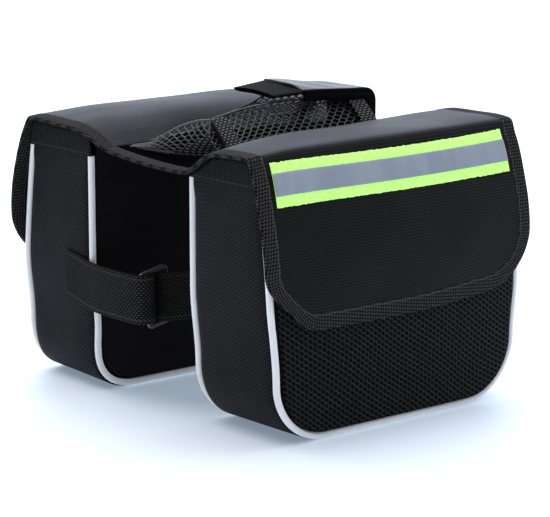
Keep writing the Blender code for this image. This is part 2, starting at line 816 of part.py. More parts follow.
def left_route():
    """From the gusset's end, in front of the ring's near bar and back through its slot."""
    sewn = -(POUCH_LENGTH / 2 + STRAP_CLOTH / 2 + 2 * CLEARANCE)
    route = [(sewn + (ring_x() - sewn) * along, inner_face() * across, LEFT_RISE * rise)
             for along, across, rise in LEFT_RUN]
    bar = ring_x() - (RING_WIDTH - RING_BAR) / 2
    lean = math.tan(RING_LEAN) * STRAP_WIDTH / 2
    reach = RING_BAR / 2 + lean + STRAP_CLOTH / 2 + 3 * CLEARANCE
    front = RING_PLATE + STRAP_CLOTH + CLEARANCE
    route += [(bar - reach * math.cos(angle), -front * math.sin(angle), 0.0)
              for angle in steps(6, 0.0, math.pi)]
    route += [(bar + reach, RING_WIDTH / 4, 0.0), (bar + reach - STRAP_CLOTH / 2, RING_WIDTH / 2, 0.0)]
    return route


def right_route():
    """From the inner panel through the ring's slot."""
    sewn_x = -POUCH_LENGTH / 2 + RIGHT_SEWN
    sewn_y = -(inner_face() - CLOTH / 2 - 2 * CLEARANCE - STRAP_CLOTH / 2)
    return [(ring_x() + (sewn_x - ring_x()) * along, sewn_y * across, RIGHT_RISE * rise)
            for along, across, rise in RIGHT_RUN]


def add_strap(bag, name, route, inside):
    knots = [0.0]
    for before, after in zip(route, route[1:]):
        knots.append(knots[-1] + math.hypot(after[0] - before[0], after[1] - before[1]))
    columns = 2 * (len(route) - 1)

    def place(column, row):
        reach = knots[-1] * column / columns
        x, y, rise = (spline(knots, [point[axis] for point in route], reach) for axis in range(3))
        return Vector((x, y, STRAP_HEIGHT + rise + STRAP_WIDTH * (row - 0.5)))

    add_sheet(bag, name, "webbing", place, columns, 1, STRAP_CLOTH, inside, offset=0.0)


def rounded_rectangle(width, height, radius):
    corners = ((1, 1, 0), (-1, 1, 90), (-1, -1, 180), (1, -1, 270))
    points = []
    for across, up, start in corners:
        for turn in steps(2, start, start + 90):
            angle = math.radians(turn)
            points.append((across * (width / 2 - radius) + radius * math.cos(angle),
                           up * (height / 2 - radius) + radius * math.sin(angle)))
    return points


def add_ring(bag):
    """Flat rectangular ring: a plate with one slot, stood on edge and leaning."""
    slot_height = STRAP_WIDTH + 2 * RING_SLACK
    curve = bpy.data.curves.new("strap_ring", "CURVE")
    curve.dimensions = "2D"
    curve.fill_mode = "BOTH"
    curve.extrude = RING_PLATE / 2
    outer = rounded_rectangle(RING_WIDTH, slot_height + 2 * RING_BAR, RING_BAR)
    inner = rounded_rectangle(RING_WIDTH - 2 * RING_BAR, slot_height, RING_BAR / 3)
    for outline in (outer, inner):
        line = curve.splines.new("POLY")
        line.points.add(len(outline) - 1)
        line.use_cyclic_u = True
        for target, (across, up) in zip(line.points, outline):
            target.co = (across, up, 0.0, 1.0)
    guide = bpy.data.objects.new("ring_outline", curve)
    bag["collection"].objects.link(guide)
    bpy.context.view_layer.update()
    mesh = bpy.data.meshes.new_from_object(guide.evaluated_get(bpy.context.evaluated_depsgraph_get()))
    bpy.data.objects.remove(guide, do_unlink=True)
    shape = bmesh.new()
    shape.from_mesh(mesh)
    bmesh.ops.remove_doubles(shape, verts=shape.verts, dist=0.00001)
    bmesh.ops.recalc_face_normals(shape, faces=shape.faces)
    shape.to_mesh(mesh)
    shape.free()
    item = add_object("strap_ring", mesh, bag["finishes"]["plastic"], bag["collection"])
    item.matrix_world = (Matrix.Translation((ring_x(), 0.0, STRAP_HEIGHT))
                         @ Matrix.Rotation(-RING_LEAN, 4, "Y")
                         @ Matrix.Rotation(math.pi / 2, 4, "X"))


def main():
    clear_scene()
    collection = bpy.data.collections.new("bicycle_bag")
    bpy.context.scene.collection.children.link(collection)
    bag = {"collection": collection,
           "finishes": {name: make_finish(name) for name in FINISHES}}
    for word, side in SIDES.items():
        add_pouch(bag, word, side)
        add_cover(bag, word, side)
    add_bridge(bag)
    add_pocket(bag)
    add_lid(bag)
    add_strap(bag, "strap_left", left_route(), (0.0, 0.03, STRAP_HEIGHT))
    add_strap(bag, "strap_right", right_route(), (0.0, -0.03, STRAP_HEIGHT))
    add_ring(bag)


main()
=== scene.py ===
import math
import bpy
import numpy as np
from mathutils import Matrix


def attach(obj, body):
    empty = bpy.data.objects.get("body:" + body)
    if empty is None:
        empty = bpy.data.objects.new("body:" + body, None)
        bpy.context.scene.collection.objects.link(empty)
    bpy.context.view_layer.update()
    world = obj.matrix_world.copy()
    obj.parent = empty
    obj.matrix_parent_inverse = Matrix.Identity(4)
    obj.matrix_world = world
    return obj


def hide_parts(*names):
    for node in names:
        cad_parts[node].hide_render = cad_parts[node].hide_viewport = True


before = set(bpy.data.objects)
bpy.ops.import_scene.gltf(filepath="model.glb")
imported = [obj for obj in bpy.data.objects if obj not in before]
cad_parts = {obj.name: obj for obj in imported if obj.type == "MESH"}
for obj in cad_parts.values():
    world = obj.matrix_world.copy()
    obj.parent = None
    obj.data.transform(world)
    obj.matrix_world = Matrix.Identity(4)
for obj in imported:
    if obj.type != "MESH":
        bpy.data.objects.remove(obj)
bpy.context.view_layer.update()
print("frame loaded:", len(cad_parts), "nodes")

sides = {"left": 1.0, "right": -1.0}  # left is +Y, away from the camera

pouch = {  # the two boxes, in metres, as the solids have them
    "length": 0.189, "taper": 0.0035, "taperHeight": 0.080, "height": 0.153,
    "depth": 0.0684, "mouthDepth": 0.0575, "depthHeight": 0.060, "gap": 0.092,
    "corner": 0.035, "cloth": 0.002, "clearance": 0.0003, "panelBulge": 0.003,
    "pipingRadius": 0.002, "pipingProud": 0.0006, "hemHeight": 0.0115, "hemCloth": 0.0012,
    "meshCloth": 0.0012, "meshHeight": 0.098,
}
cover = {  # flap and top panel in one cloth
    "length": 0.199, "hemHeight": 0.0635, "hemRise": 0.005, "corner": 0.035, "slack": 0.0036,
    "foldHeight": 0.160, "endDroop": 0.0025, "crownRise": 0.0033, "seamSpread": 0.072,
    "seamHeight": 0.147, "bindingWidth": 0.010, "binding": 0.0026, "raiseStart": -0.010,
    "raiseEnd": 0.080, "cut": 0.0048, "tuck": 0.0022, "seamGap": 0.00005,
    "bowNear": (0.010, 0.0020), "bowFar": (0.004, 0.0019), "bowX": (0.050, 0.050),
    "farLift": 0.0034, "liftTop": 0.060,
}
sway = {"reach": 0.009, "tilt": 0.002, "start": 0.020, "end": 0.100, "fade": 0.040, "sag": 0.0012}

# height of the flap from its hem to the fold, and how far it stands off
flapRows = np.array([
    (0.00, 0.00), (0.20, 0.45), (0.40, 0.95), (0.56, 1.00), (0.74, 0.50), (0.86, 0.00),
    (0.95, -0.65)])

# top panel from the fold to the seam: how far out, height at the middle, at the ends, and at
# the right pouch's +X end, which stands up flat
topRows = np.array([
    (1.00, 0.83, 0.70, 0.87), (0.95, 0.93, 0.735, 0.96), (0.80, 0.985, 0.73, 1.01),
    (0.60, 1.00, 0.69, 1.00), (0.40, 0.94, 0.60, 1.00), (0.27, 0.81, 0.43, 0.97),
    (0.15, 0.55, 0.23, 0.82), (0.06, 0.24, 0.08, 0.42), (0.00, 0.00, 0.00, 0.00)])


# Curves and surfaces

# cubic ease: 3t^2 - 2t^3 between 0 and 1
def ease(t):
    t = np.clip(t, 0.0, 1.0)
    return t * t * (3.0 - 2.0 * t)


# the ease over a run, given as its start and its length
def easeOver(value, run):
    return ease((value - run[0]) / run[1])


# numbers and arrays spread to one shape and joined along a new last axis
def joined(*parts):
    return np.stack(np.broadcast_arrays(*parts), -1)


# cubic through rows of values (rows, ...) standing at the knots, slopes from the neighbours
def throughRows(knots, rows, place):
    place = np.asarray(place, float)
    last = len(knots) - 1
    index = np.clip(np.searchsorted(knots, place) - 1, 0, last - 1)
    before = np.maximum(np.arange(last + 1) - 1, 0)
    after = np.minimum(np.arange(last + 1) + 1, last)
    run = (knots[after] - knots[before]).reshape((-1,) + (1,) * (rows.ndim - 1))
    slopes = (rows[after] - rows[before]) / run

    def at(table, where):
        return np.take_along_axis(table, where[None], axis=0)[0]

    rows = np.broadcast_to(rows, (last + 1,) + place.shape)
    slopes = np.broadcast_to(slopes, (last + 1,) + place.shape)
    span = knots[index + 1] - knots[index]
    t = (place - knots[index]) / span
    return (at(rows, index) * (2 * t**3 - 3 * t**2 + 1) + at(rows, index + 1) * (3 * t**2 - 2 * t**3)
            + at(slopes, index) * span * (t**3 - 2 * t**2 + t)
            + at(slopes, index + 1) * span * (t**3 - t**2))


# the same cubic through the points of a route, at count even places
def throughPoints(points, count):
    points = np.asarray(points, float)
    steps = np.linalg.norm(np.diff(points[:, :2], axis=0), axis=1)
    knots = np.concatenate([[0.0], np.cumsum(steps)])
    place = np.linspace(0.0, knots[-1], count)
    return joined(*(throughRows(knots, column[:, None], place) for column in points.T))


# direction of a grid of points along one of its axes
def heading(points, axis):
    way = np.gradient(points, axis=axis)
    return way / np.maximum(np.linalg.norm(way, axis=-1, keepdims=True), 1e-12)


# length run along a grid axis, in millimetres, starting at 0
def runLength(points, axis):
    step = np.linalg.norm(np.diff(points, axis=axis), axis=-1)
    zero = np.zeros_like(np.take(step, [0], axis=axis))
    return np.concatenate([zero, np.cumsum(step, axis=axis)], axis=axis) * 1000.0


# one soft irregular swell from three crossing sines, between about -1 and 1
def swell(a, b, seed):
    return (np.sin(a * 0.071 + seed) * np.cos(b * 0.093 + 1.7 * seed)
            + 0.6 * np.sin(a * 0.031 - b * 0.057 + 2.3 * seed)
            + 0.4 * np.sin(a * 0.127 + b * 0.041 + 0.9 * seed)) / 2.0


# half length of a pouch at a height
def pouchHalf(z):
    rise = (z - pouch["corner"]) / (pouch["taperHeight"] - pouch["corner"])
    return pouch["length"] / 2 - pouch["taper"] * (1.0 - ease(rise))


# inner piping plane, and outer piping plane at a height
innerFace = pouch["gap"] / 2


def outerFace(z):
    share = np.maximum(z - pouch["depthHeight"], 0.0) / (pouch["height"] - pouch["depthHeight"])
    return innerFace + pouch["depth"] - (pouch["depth"] - pouch["mouthDepth"]) * share**1.5


# rows of the cover's section at x: first the flap, then the top panel
def coverRows(side, x):
    along = x / (cover["length"] / 2)
    end = np.abs(along)**4
    raised = (side < 0) * ease((x - cover["raiseStart"]) / (cover["raiseEnd"] - cover["raiseStart"]))
    fold = cover["foldHeight"] - cover["endDroop"] * end * (1.0 - raised)
    stack = pouch["cloth"] / 2 + pouch["meshCloth"] + pouch["cloth"] + 3 * pouch["clearance"]
    ys, zs = [], []
    for share, slack in flapRows:
        height = cover["hemHeight"] + (fold - cover["hemHeight"]) * share
        ys.append(outerFace(height) + stack + pouch["panelBulge"] * (1.0 - along**2) * (1.0 - share)
                  + cover["slack"] * slack)
        zs.append(height)
    seam = cover["seamSpread"] / 2
    foldOut = ys[-1] - (cover["foldHeight"] - zs[-1]) / 2
    crown = cover["foldHeight"] + cover["crownRise"] - cover["seamHeight"]
    for out, middle, atEnd, atRaised in topRows:
        rise = middle + (atEnd - middle) * end
        ys.append(seam + (foldOut - seam) * out)
        zs.append(cover["seamHeight"] + crown * (rise + (atRaised - rise) * raised))
    return np.stack(ys), np.stack(zs)


midY, midZ = coverRows(1.0, np.zeros(1))
coverKnots = np.concatenate([[0.0], np.cumsum(np.hypot(np.diff(midY[:, 0]), np.diff(midZ[:, 0])))])
coverReach = coverKnots[-1]
foldReach = coverKnots[len(flapRows)]


# the bridge's sway and tilt towards the strap's end, fading out over the pouches
def settle(x, y, z):
    share = ease((-x - sway["start"]) / (sway["end"] - sway["start"]))
    share = share * (1.0 - ease((np.abs(y) - cover["seamSpread"] / 2) / sway["fade"]))
    return joined(x, y - sway["reach"] * share, z + sway["tilt"] * share * y / (cover["seamSpread"] / 2))


# the near flap's lower -X corner is rounder: drawn in to the corner's centre by sin(2 angle) squared
def cutCorner(x, reach):
    corner = cover["corner"]
    across, down = corner - cover["length"] / 2 - x, corner - reach
    angle = np.arctan2(np.maximum(down, 0.0), np.maximum(across, 0.0))
    pull = cover["cut"] * np.sin(2.0 * angle)**2 * np.clip(np.hypot(across, down) / corner, 0.0, 1.1)**2
    return x + pull * np.cos(angle), reach + pull * np.sin(angle)


# a point on the cover's outer surface, reach runs from the hem up and over to the seam. Its -X
# edge bows forward by a sine between the start and the fold.
def coverPoint(side, x, reach):
    x, reach = np.broadcast_arrays(np.asarray(x, float), np.asarray(reach, float))
    if side < 0:
        x, reach = cutCorner(x, reach)
    ys, zs = coverRows(side, x)
    y = throughRows(coverKnots, ys, reach)
    z = throughRows(coverKnots, zs, reach)
    point = settle(x, side * y, z)
    point[..., 2] += (cover["hemRise"] * ease(x / (cover["length"] / 2))
                      * ease(1.0 - reach / cover["hemHeight"]))
    front = easeOver(-x, cover["bowX"])
    start, size = cover["bowNear"] if side < 0 else cover["bowFar"]
    bow = np.sin(math.pi * np.clip((reach - start) / (foldReach - start), 0.0, 1.0))
    point[..., 0] -= front * bow * size
    point[..., 2] += (side > 0) * cover["farLift"] * front * (1.0 - ease(reach / cover["liftTop"]))
    return point


# the cover's surface lifted along its normal
def coverShell(side, x, reach, lift):
    step = 0.0005
    x, reach = np.broadcast_arrays(np.asarray(x, float), np.asarray(reach, float))
    along = coverPoint(side, x + step, reach) - coverPoint(side, x - step, reach)
    up = coverPoint(side, x, reach + step) - coverPoint(side, x, reach - step)
    outward = -side * np.cross(along, up)
    outward /= np.linalg.norm(outward, axis=-1, keepdims=True)
    return coverPoint(side, x, reach) + outward * np.asarray(lift)[..., None]


# height just under the cover's binding at x, over each y
def underCover(side, x, y):
    drop = cover["binding"] + 2 * pouch["clearance"]
    line = coverShell(side, x, np.linspace(foldReach, coverReach, 60), np.full(60, -drop))
    order = np.argsort(np.abs(line[:, 1]))
    return np.interp(np.abs(y), np.abs(line[order, 1]), line[order, 2])


# top of the pouch's end wall: its mouth, or the cover where that droops lower
def mouthHeight(side, end, y, height=pouch["height"]):
    near = underCover(side, end * (pouch["length"] / 2 - pouch["cloth"]), y)
    far = underCover(side, end * (pouch["length"] / 2 + pouch["hemCloth"] + 2 * pouch["clearance"]), y)
    return np.minimum(height, np.minimum(near, far))


# (x, z) of the pouch's outline set in by inset: down one end, round, along the floor and up
def outline(inset, top, sideSteps=40, cornerSteps=16, baseSteps=24):
    inset, top = np.broadcast_arrays(np.asarray(inset, float), np.asarray(top, float))
    corner = pouch["corner"]
    fall = np.linspace(0.0, 1.0, sideSteps).reshape((-1,) + (1,) * top.ndim)
    z = top + (corner - top) * fall
    endX = -(pouchHalf(z) - inset)
    angle = np.linspace(0.0, math.pi / 2, cornerSteps + 1)[1:].reshape((-1,) + (1,) * top.ndim)
    centre = pouchHalf(np.float64(corner)) - corner
    turnX = -centre - (corner - inset) * np.cos(angle)
    turnZ = corner - (corner - inset) * np.sin(angle)
    base = np.linspace(-centre, centre, baseSteps + 1)[1:-1].reshape((-1,) + (1,) * top.ndim)
    baseX, baseZ = base + 0 * top, inset + 0 * base
    x = np.concatenate([endX, turnX, baseX, -turnX[::-1], -endX[::-1]])
    z = np.concatenate([z, turnZ, baseZ, turnZ[::-1], z[::-1]])
    return x, z


# Meshes

def addObject(name, data):  # links new data into the scene as an object
    thing = bpy.data.objects.new(name, data)
    bpy.context.scene.collection.objects.link(thing)
    return thing


# one piece from points, faces and the UV of each face corner, with a wall laid inwards
def addPiece(name, points, faces, loopUv, material, replaces=(), sharp=None, wall=0.0):
    mesh = bpy.data.meshes.new(name)
    mesh.from_pydata(points.reshape(-1, 3).tolist(), [], faces)
    layer = mesh.uv_layers.new(name="cloth")
    layer.uv.foreach_set("vector", np.ascontiguousarray(loopUv, dtype=np.float32).ravel())
    mesh.shade_smooth()
    if sharp:
        mesh.set_sharp_from_angle(angle=math.radians(sharp))
    mesh.materials.append(material)
    piece = addObject(name, mesh)
    if wall:
        solidify = piece.modifiers.new("wall", "SOLIDIFY")
        solidify.thickness = wall
        solidify.offset = -1.0
        solidify.use_even_offset = True
    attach(piece, "root")
    if replaces:
        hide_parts(*replaces)
    return piece


# grid (rows, columns, 3) as quads. wrap joins the last column to the first, caps closes the two
# ends. An open grid looks away from the point inside, a wrapped one has a positive volume.
def gridPiece(name, points, uv, material, replaces=(), wrap=False, caps=True, inside=(0, 0, 0),
              wall=0.0, sharp=40.0):
    rows, columns = points.shape[:2]
    ids = np.arange(rows * columns).reshape(rows, columns)
    if wrap:
        ids = np.concatenate([ids, ids[:, :1]], axis=1)
    quads = np.stack([ids[:-1, :-1], ids[1:, :-1], ids[1:, 1:], ids[:-1, 1:]], -1).reshape(-1, 4)
    quadUv = np.stack([uv[:-1, :-1], uv[1:, :-1], uv[1:, 1:], uv[:-1, 1:]], 2).reshape(-1, 4, 2)
    corners = points.reshape(-1, 3)[quads]
    normals = np.cross(corners[:, 2] - corners[:, 0], corners[:, 3] - corners[:, 1])
    turned = np.sum(normals * (corners.mean(axis=1) - np.asarray(inside))) < 0
    if turned:
        quads, quadUv = quads[:, ::-1], quadUv[:, ::-1]
    faces, loopUv = quads.tolist(), quadUv.reshape(-1, 2)
    if wrap and caps:
        first, last = ids[0, :columns], ids[-1, :columns]
        ends = [first, last[::-1]] if turned else [first[::-1], last]
        faces += [end.tolist() for end in ends]
        loopUv = np.concatenate([loopUv, np.zeros((2 * columns, 2)) + uv[0, 0]])
    return addPiece(name, points, faces, loopUv, material, replaces, sharp, wall)


# closed rounded section of a flat band, as shares: across 0 to 1 and height 0 to -1
def bandSection(count, edge=0.35, face=0.55):
    angle = np.linspace(0.0, 2 * math.pi, count, endpoint=False)
    across = 0.5 - 0.5 * np.sign(np.cos(angle)) * np.abs(np.cos(angle))**edge
    height = 0.5 * np.sign(np.sin(angle)) * np.abs(np.sin(angle))**face - 0.5
    return across, height


# UV of a band in millimetres: along it, and across its closed section
def bandUv(along, section, width):
    return joined(along, np.concatenate([section, section[:1]])[None] * width * 1000.0)


# round tube with closed ends along a path, its section carried from point to point
def tubePiece(name, path, radius, count, material, replaces=(), up=(0.0, 0.0, 1.0)):
    way = heading(path, 0)
    across = np.cross(way, np.asarray(up, float))
    across /= np.maximum(np.linalg.norm(across, axis=1, keepdims=True), 1e-9)
    high = np.cross(across, way)
    angle = np.linspace(0.0, 2 * math.pi, count, endpoint=False)[:, None]
    ring = np.cos(angle) * across[:, None] + np.sin(angle) * high[:, None]
    uv = joined(runLength(path, 0)[:, None], np.linspace(0.0, 2000.0 * math.pi * radius, count + 1))
    return gridPiece(name, path[:, None] + radius * ring, uv, material, replaces, wrap=True)


# Materials

class Wiring:  # short ways to add nodes to one tree
    def __init__(self, tree):
        self.tree = tree

    def add(self, kind, **settings):
        node = self.tree.nodes.new(kind)
        for key, value in settings.items():
            setattr(node, key, value)
        return node

    def feed(self, target, value):
        if isinstance(value, bpy.types.NodeSocket):
            self.tree.links.new(value, target)
        else:
            target.default_value = value

    def maths(self, operation, *values):
        node = self.add("ShaderNodeMath", operation=operation)
        for target, value in zip(node.inputs, values):
            self.feed(target, value)
        return node.outputs[0]

    def mix(self, factor, *colours):
        node = self.add("ShaderNodeMix", data_type="RGBA")
        self.feed(node.inputs[0], factor)
        for target, colour in zip([s for s in node.inputs if s.type == "RGBA"], colours):
            self.feed(target, colour if isinstance(colour, bpy.types.NodeSocket) else (*colour, 1.0))
        return next(s for s in node.outputs if s.type == "RGBA")

    def ramp(self, value, low, high):
        node = self.add("ShaderNodeMapRange", interpolation_type="SMOOTHSTEP")
        for key, number in (("Value", value), ("From Min", low), ("From Max", high)):
            self.feed(next(s for s in node.inputs if s.name == key and s.enabled), number)
        return node.outputs[0]

    def group(self, group, **inputs):
        node = self.add("ShaderNodeGroup", node_tree=group)
        for key, value in inputs.items():
            self.feed(node.inputs[key], value)
        return node.outputs


# an empty node group: an input of None is a vector, the rest are numbers
def newGroup(name, inputs, outputs):
    tree = bpy.data.node_groups.new(name, "ShaderNodeTree")
    for key, value in inputs.items():
        kind = "NodeSocketVector" if value is None else "NodeSocketFloat"
        socket = tree.interface.new_socket(key, in_out="INPUT", socket_type=kind)
        if value is not None:
            socket.default_value = value
    for key in outputs:
        tree.interface.new_socket(key, in_out="OUTPUT", socket_type="NodeSocketFloat")
    wires = Wiring(tree)
    start = wires.add("NodeGroupInput").outputs
    end = wires.add("NodeGroupOutput").inputs
    return tree, wires, start, end


# woven cloth: short bumps laid like bricks, |sin| across each bump times |sin| along its row,
# every other row moved on by half a bump
def weaveGroup():
    tree, w, start, end = newGroup("weave", {"Place": None, "Across": 1.0, "Along": 1.0}, ["Height", "Row"])
    split = w.add("ShaderNodeSeparateXYZ")
    w.feed(split.inputs[0], start["Place"])
    row = w.maths("DIVIDE", split.outputs[1], start["Along"])
    shift = w.maths("MULTIPLY", w.maths("FLOORED_MODULO", w.maths("FLOOR", row), 2.0), 0.5)
    bump = w.maths("ADD", w.maths("DIVIDE", split.outputs[0], start["Across"]), shift)
    rowWave = w.maths("ABSOLUTE", w.maths("SINE", w.maths("MULTIPLY", row, math.pi)))
    bumpWave = w.maths("ABSOLUTE", w.maths("SINE", w.maths("MULTIPLY", bump, math.pi)))
    w.feed(end["Height"], w.maths("MULTIPLY", rowWave, bumpWave))
    w.feed(end["Row"], rowWave)
    return tree


# straight ribs at an angle: 0.5 + 0.5 sin(2 pi (u cos a + v sin a) / pitch)
def ribGroup():
    tree, w, start, end = newGroup("ribs", {"Place": None, "Pitch": 1.0, "Angle": 0.0}, ["Height"])
    split = w.add("ShaderNodeSeparateXYZ")
    w.feed(split.inputs[0], start["Place"])
    u = w.maths("MULTIPLY", split.outputs[0], w.maths("COSINE", start["Angle"]))
    v = w.maths("MULTIPLY", split.outputs[1], w.maths("SINE", start["Angle"]))
    turn = w.maths("MULTIPLY", w.maths("DIVIDE", w.maths("ADD", u, v), start["Pitch"]), 2 * math.pi)
    w.feed(end["Height"], w.maths("MULTIPLY_ADD", w.maths("SINE", turn), 0.5, 0.5))
    return tree


# a row of stitches at a distance across: dashes along u, each with soft ends
def stitchGroup():
    tree, w, start, end = newGroup(
        "stitches", {"Place": None, "Across": 1.5, "Length": 2.4, "Width": 0.5}, ["Stitch"])
    split = w.add("ShaderNodeSeparateXYZ")
    w.feed(split.inputs[0], start["Place"])
    off = w.maths("ABSOLUTE", w.maths("SUBTRACT", split.outputs[1], start["Across"]))
    line = w.maths("SUBTRACT", 1.0, w.ramp(off, w.maths("MULTIPLY", start["Width"], 0.5), start["Width"]))
    step = w.maths("FRACT", w.maths("DIVIDE", split.outputs[0], start["Length"]))
    dash = w.ramp(w.maths("ABSOLUTE", w.maths("SUBTRACT", step, 0.5)), 0.42, 0.30)
    w.feed(end["Stitch"], w.maths("MULTIPLY", line, dash))
    return tree


# slow and fine unevenness of cloth, from two noises on the object's own coordinates
def grainGroup():
    tree, w, start, end = newGroup("grain", {"Place": None, "Scale": 60.0}, ["Slow", "Fine"])
    for key, factor, detail in (("Slow", 1.0, 3.0), ("Fine", 22.0, 2.0)):
        noise = w.add("ShaderNodeTexNoise")
        w.feed(noise.inputs["Vector"], start["Place"])
        w.feed(noise.inputs["Scale"], w.maths("MULTIPLY", start["Scale"], factor))
        noise.inputs["Detail"].default_value = detail
        w.feed(end[key], noise.outputs[0])
    return tree


weave, ribs, stitches, grain = weaveGroup(), ribGroup(), stitchGroup(), grainGroup()


class Finish(Wiring):  # a new material's tree, its shader's sockets, its UV and object coordinates
    def __init__(self, name, roughness=0.6, **extras):
        self.material = bpy.data.materials.new(name)
        self.material.use_nodes = True
        super().__init__(self.material.node_tree)
        self.shader = self.tree.nodes["Principled BSDF"].inputs
        for key, value in {"Roughness": roughness, **extras}.items():
            self.shader[key.replace("_", " ")].default_value = value
        self.place = self.add("ShaderNodeUVMap", uv_map="cloth").outputs[0]
        self.body = self.add("ShaderNodeTexCoord").outputs["Object"]

    def uneven(self, scale):
        return self.group(grain, Place=self.body, Scale=scale)

    def turned(self, angle):  # the UV place turned by an angle in degrees
        node = self.add("ShaderNodeMapping")
        node.inputs["Rotation"].default_value = (0.0, 0.0, math.radians(angle))
        self.feed(node.inputs["Vector"], self.place)
        return node.outputs[0]

    def colour(self, value):
        self.feed(self.shader["Base Color"], value)

    def rough(self, value, share, least):  # roughness = value * share + least
        self.feed(self.shader["Roughness"], self.maths("MULTIPLY_ADD", value, share, least))

    def relief(self, height, distance):
        bump = self.add("ShaderNodeBump")
        bump.inputs["Distance"].default_value = distance
        self.feed(bump.inputs["Height"], height)
        self.feed(self.shader["Normal"], bump.outputs[0])
        return self.material


# woven polyester: dark threads with a painted highlight on the top of each and painted shade between them,
# over the weave's relief; a little slow unevenness
def clothMaterial(name, dark, light, across, along, relief, roughness, specular, sheen=0.0):
    w = Finish(name, Specular_IOR_Level=specular, Sheen_Weight=sheen, Sheen_Roughness=0.35)
    cloth = w.group(weave, Place=w.place, Across=across, Along=along)["Height"]
    uneven = w.uneven(28.0)
    # thread crowns lighter, gaps darker: painted highlight and painted shade
    paintedCrowns = w.maths("MULTIPLY", cloth, w.maths("MULTIPLY_ADD", uneven["Fine"], 0.9, 0.3))
    w.colour(w.mix(paintedCrowns, dark, light))
    w.rough(uneven["Slow"], 0.16, roughness - 0.08)
    return w.relief(w.maths("ADD", cloth, w.maths("MULTIPLY", uneven["Fine"], 0.35)), relief)


# tape and webbing: bumps in slanted rows, lighter than the gaps between them as painted highlight and
# painted shade over their relief, with rows of stitches
def tapeMaterial(name, dark, light, across, along, angle, relief, stitchAt=(), roughness=0.7):
    w = Finish(name, roughness, Specular_IOR_Level=0.03)
    height = w.group(weave, Place=w.turned(angle), Across=across, Along=along)["Height"]
    fine = w.maths("MULTIPLY_ADD", w.uneven(40.0)["Fine"], 1.6, 0.2)
    # bump tops lighter: painted highlight; gaps darker: painted shade
    colour = w.mix(w.maths("MULTIPLY", w.maths("POWER", height, 1.5), fine), dark, light)
    for at in stitchAt:
        sewn = w.group(stitches, Place=w.place, Across=at, Length=2.6, Width=0.5)["Stitch"]
        colour = w.mix(w.maths("MULTIPLY", sewn, 0.45), colour, tuple(1.6 * c for c in light))
        height = w.maths("ADD", height, w.maths("MULTIPLY", sewn, 0.6))
    w.colour(colour)
    return w.relief(height, relief)


# soft white vinyl: two whites mixed by slow noise, with a thin coat and a faint glow that is painted light,
# brightening the piping where it lies in shade
def pipingMaterial():
    # the emission is painted light on the piping, not a glow of the vinyl
    w = Finish("whitePiping", Coat_Weight=0.15, Coat_Roughness=0.3, Emission_Strength=0.04,
               Emission_Color=(1.0, 0.97, 0.92, 1.0))
    uneven = w.uneven(22.0)
    w.colour(w.mix(w.ramp(uneven["Slow"], 0.35, 0.75), (0.90, 0.90, 0.91), (0.82, 0.82, 0.83)))
    w.rough(uneven["Slow"], 0.2, 0.28)
    return w.relief(uneven["Fine"], 0.00004)


# fine netting on the slant over black cloth: holes laid like bricks, threads between them
def meshMaterial():
    w = Finish("fineNetting", Specular_IOR_Level=0.09)
    holes = w.group(weave, Place=w.turned(34.0), Across=3.7, Along=2.7)
    net = w.maths("SUBTRACT", 1.0, w.ramp(holes["Height"], 0.10, 0.55))
    chain = w.maths("SUBTRACT", 1.0, w.ramp(holes["Row"], 0.05, 0.75))
    fine = w.ramp(w.uneven(35.0)["Fine"], 0.2, 0.75)
    lit = w.maths("MULTIPLY", w.maths("MULTIPLY_ADD", chain, 0.8, 0.2), fine)
    thread = w.mix(lit, (0.0056, 0.0050, 0.0048), (0.044, 0.039, 0.037))
    w.colour(w.mix(net, (0.0012, 0.0012, 0.0014), thread))
    w.rough(net, -0.25, 0.85)
    return w.relief(net, 0.0007)


def threadMaterial():  # twisted yarn of the coarse net
    w = Finish("netYarn", 0.5, Specular_IOR_Level=0.4)
    twist = w.group(ribs, Place=w.place, Pitch=0.9, Angle=math.radians(35.0))["Height"]
    w.colour(w.mix(twist, (0.028, 0.028, 0.031), (0.125, 0.125, 0.135)))
    return w.relief(twist, 0.0001)


# two greens mixed by fine noise over a fine weave, lit a little from inside
def neonMaterial():
    w = Finish("neonTape", 0.55, Emission_Strength=0.42)
    colour = w.mix(w.ramp(w.uneven(30.0)["Fine"], 0.35, 0.7), (0.46, 0.98, 0.16), (0.56, 1.0, 0.25))
    w.colour(colour)
    w.feed(w.shader["Emission Color"], colour)
    return w.relief(w.group(weave, Place=w.place, Across=0.5, Along=0.5)["Height"], 0.00006)


def silverMaterial():  # glass-bead film: fine beads and faint wrinkles across
    w = Finish("silverFilm", Specular_IOR_Level=0.5)
    beads = w.group(weave, Place=w.place, Across=0.6, Along=0.6)["Height"]
    drawn = w.add("ShaderNodeMapping")
    drawn.inputs["Scale"].default_value = (0.0011, 0.00018, 0.0)
    w.feed(drawn.inputs["Vector"], w.place)
    tone = w.ramp(w.group(grain, Place=drawn.outputs[0], Scale=50.0)["Slow"], 0.35, 0.68)
    w.colour(w.mix(tone, (0.262, 0.310, 0.375), (0.312, 0.358, 0.415)))
    w.rough(w.uneven(18.0)["Slow"], 0.15, 0.35)
    return w.relief(w.maths("ADD", w.maths("MULTIPLY", beads, 0.2), w.maths("MULTIPLY", tone, 1.2)), 0.00012)


# moulded plastic: two dark greys mixed by slow noise, roughness and relief from fine noise
def plasticMaterial():
    w = Finish("ringPlastic")
    uneven = w.uneven(90.0)
    w.colour(w.mix(uneven["Slow"], (0.050, 0.052, 0.056), (0.085, 0.088, 0.094)))
    w.rough(uneven["Fine"], 0.2, 0.28)
    return w.relief(uneven["Fine"], 0.00005)


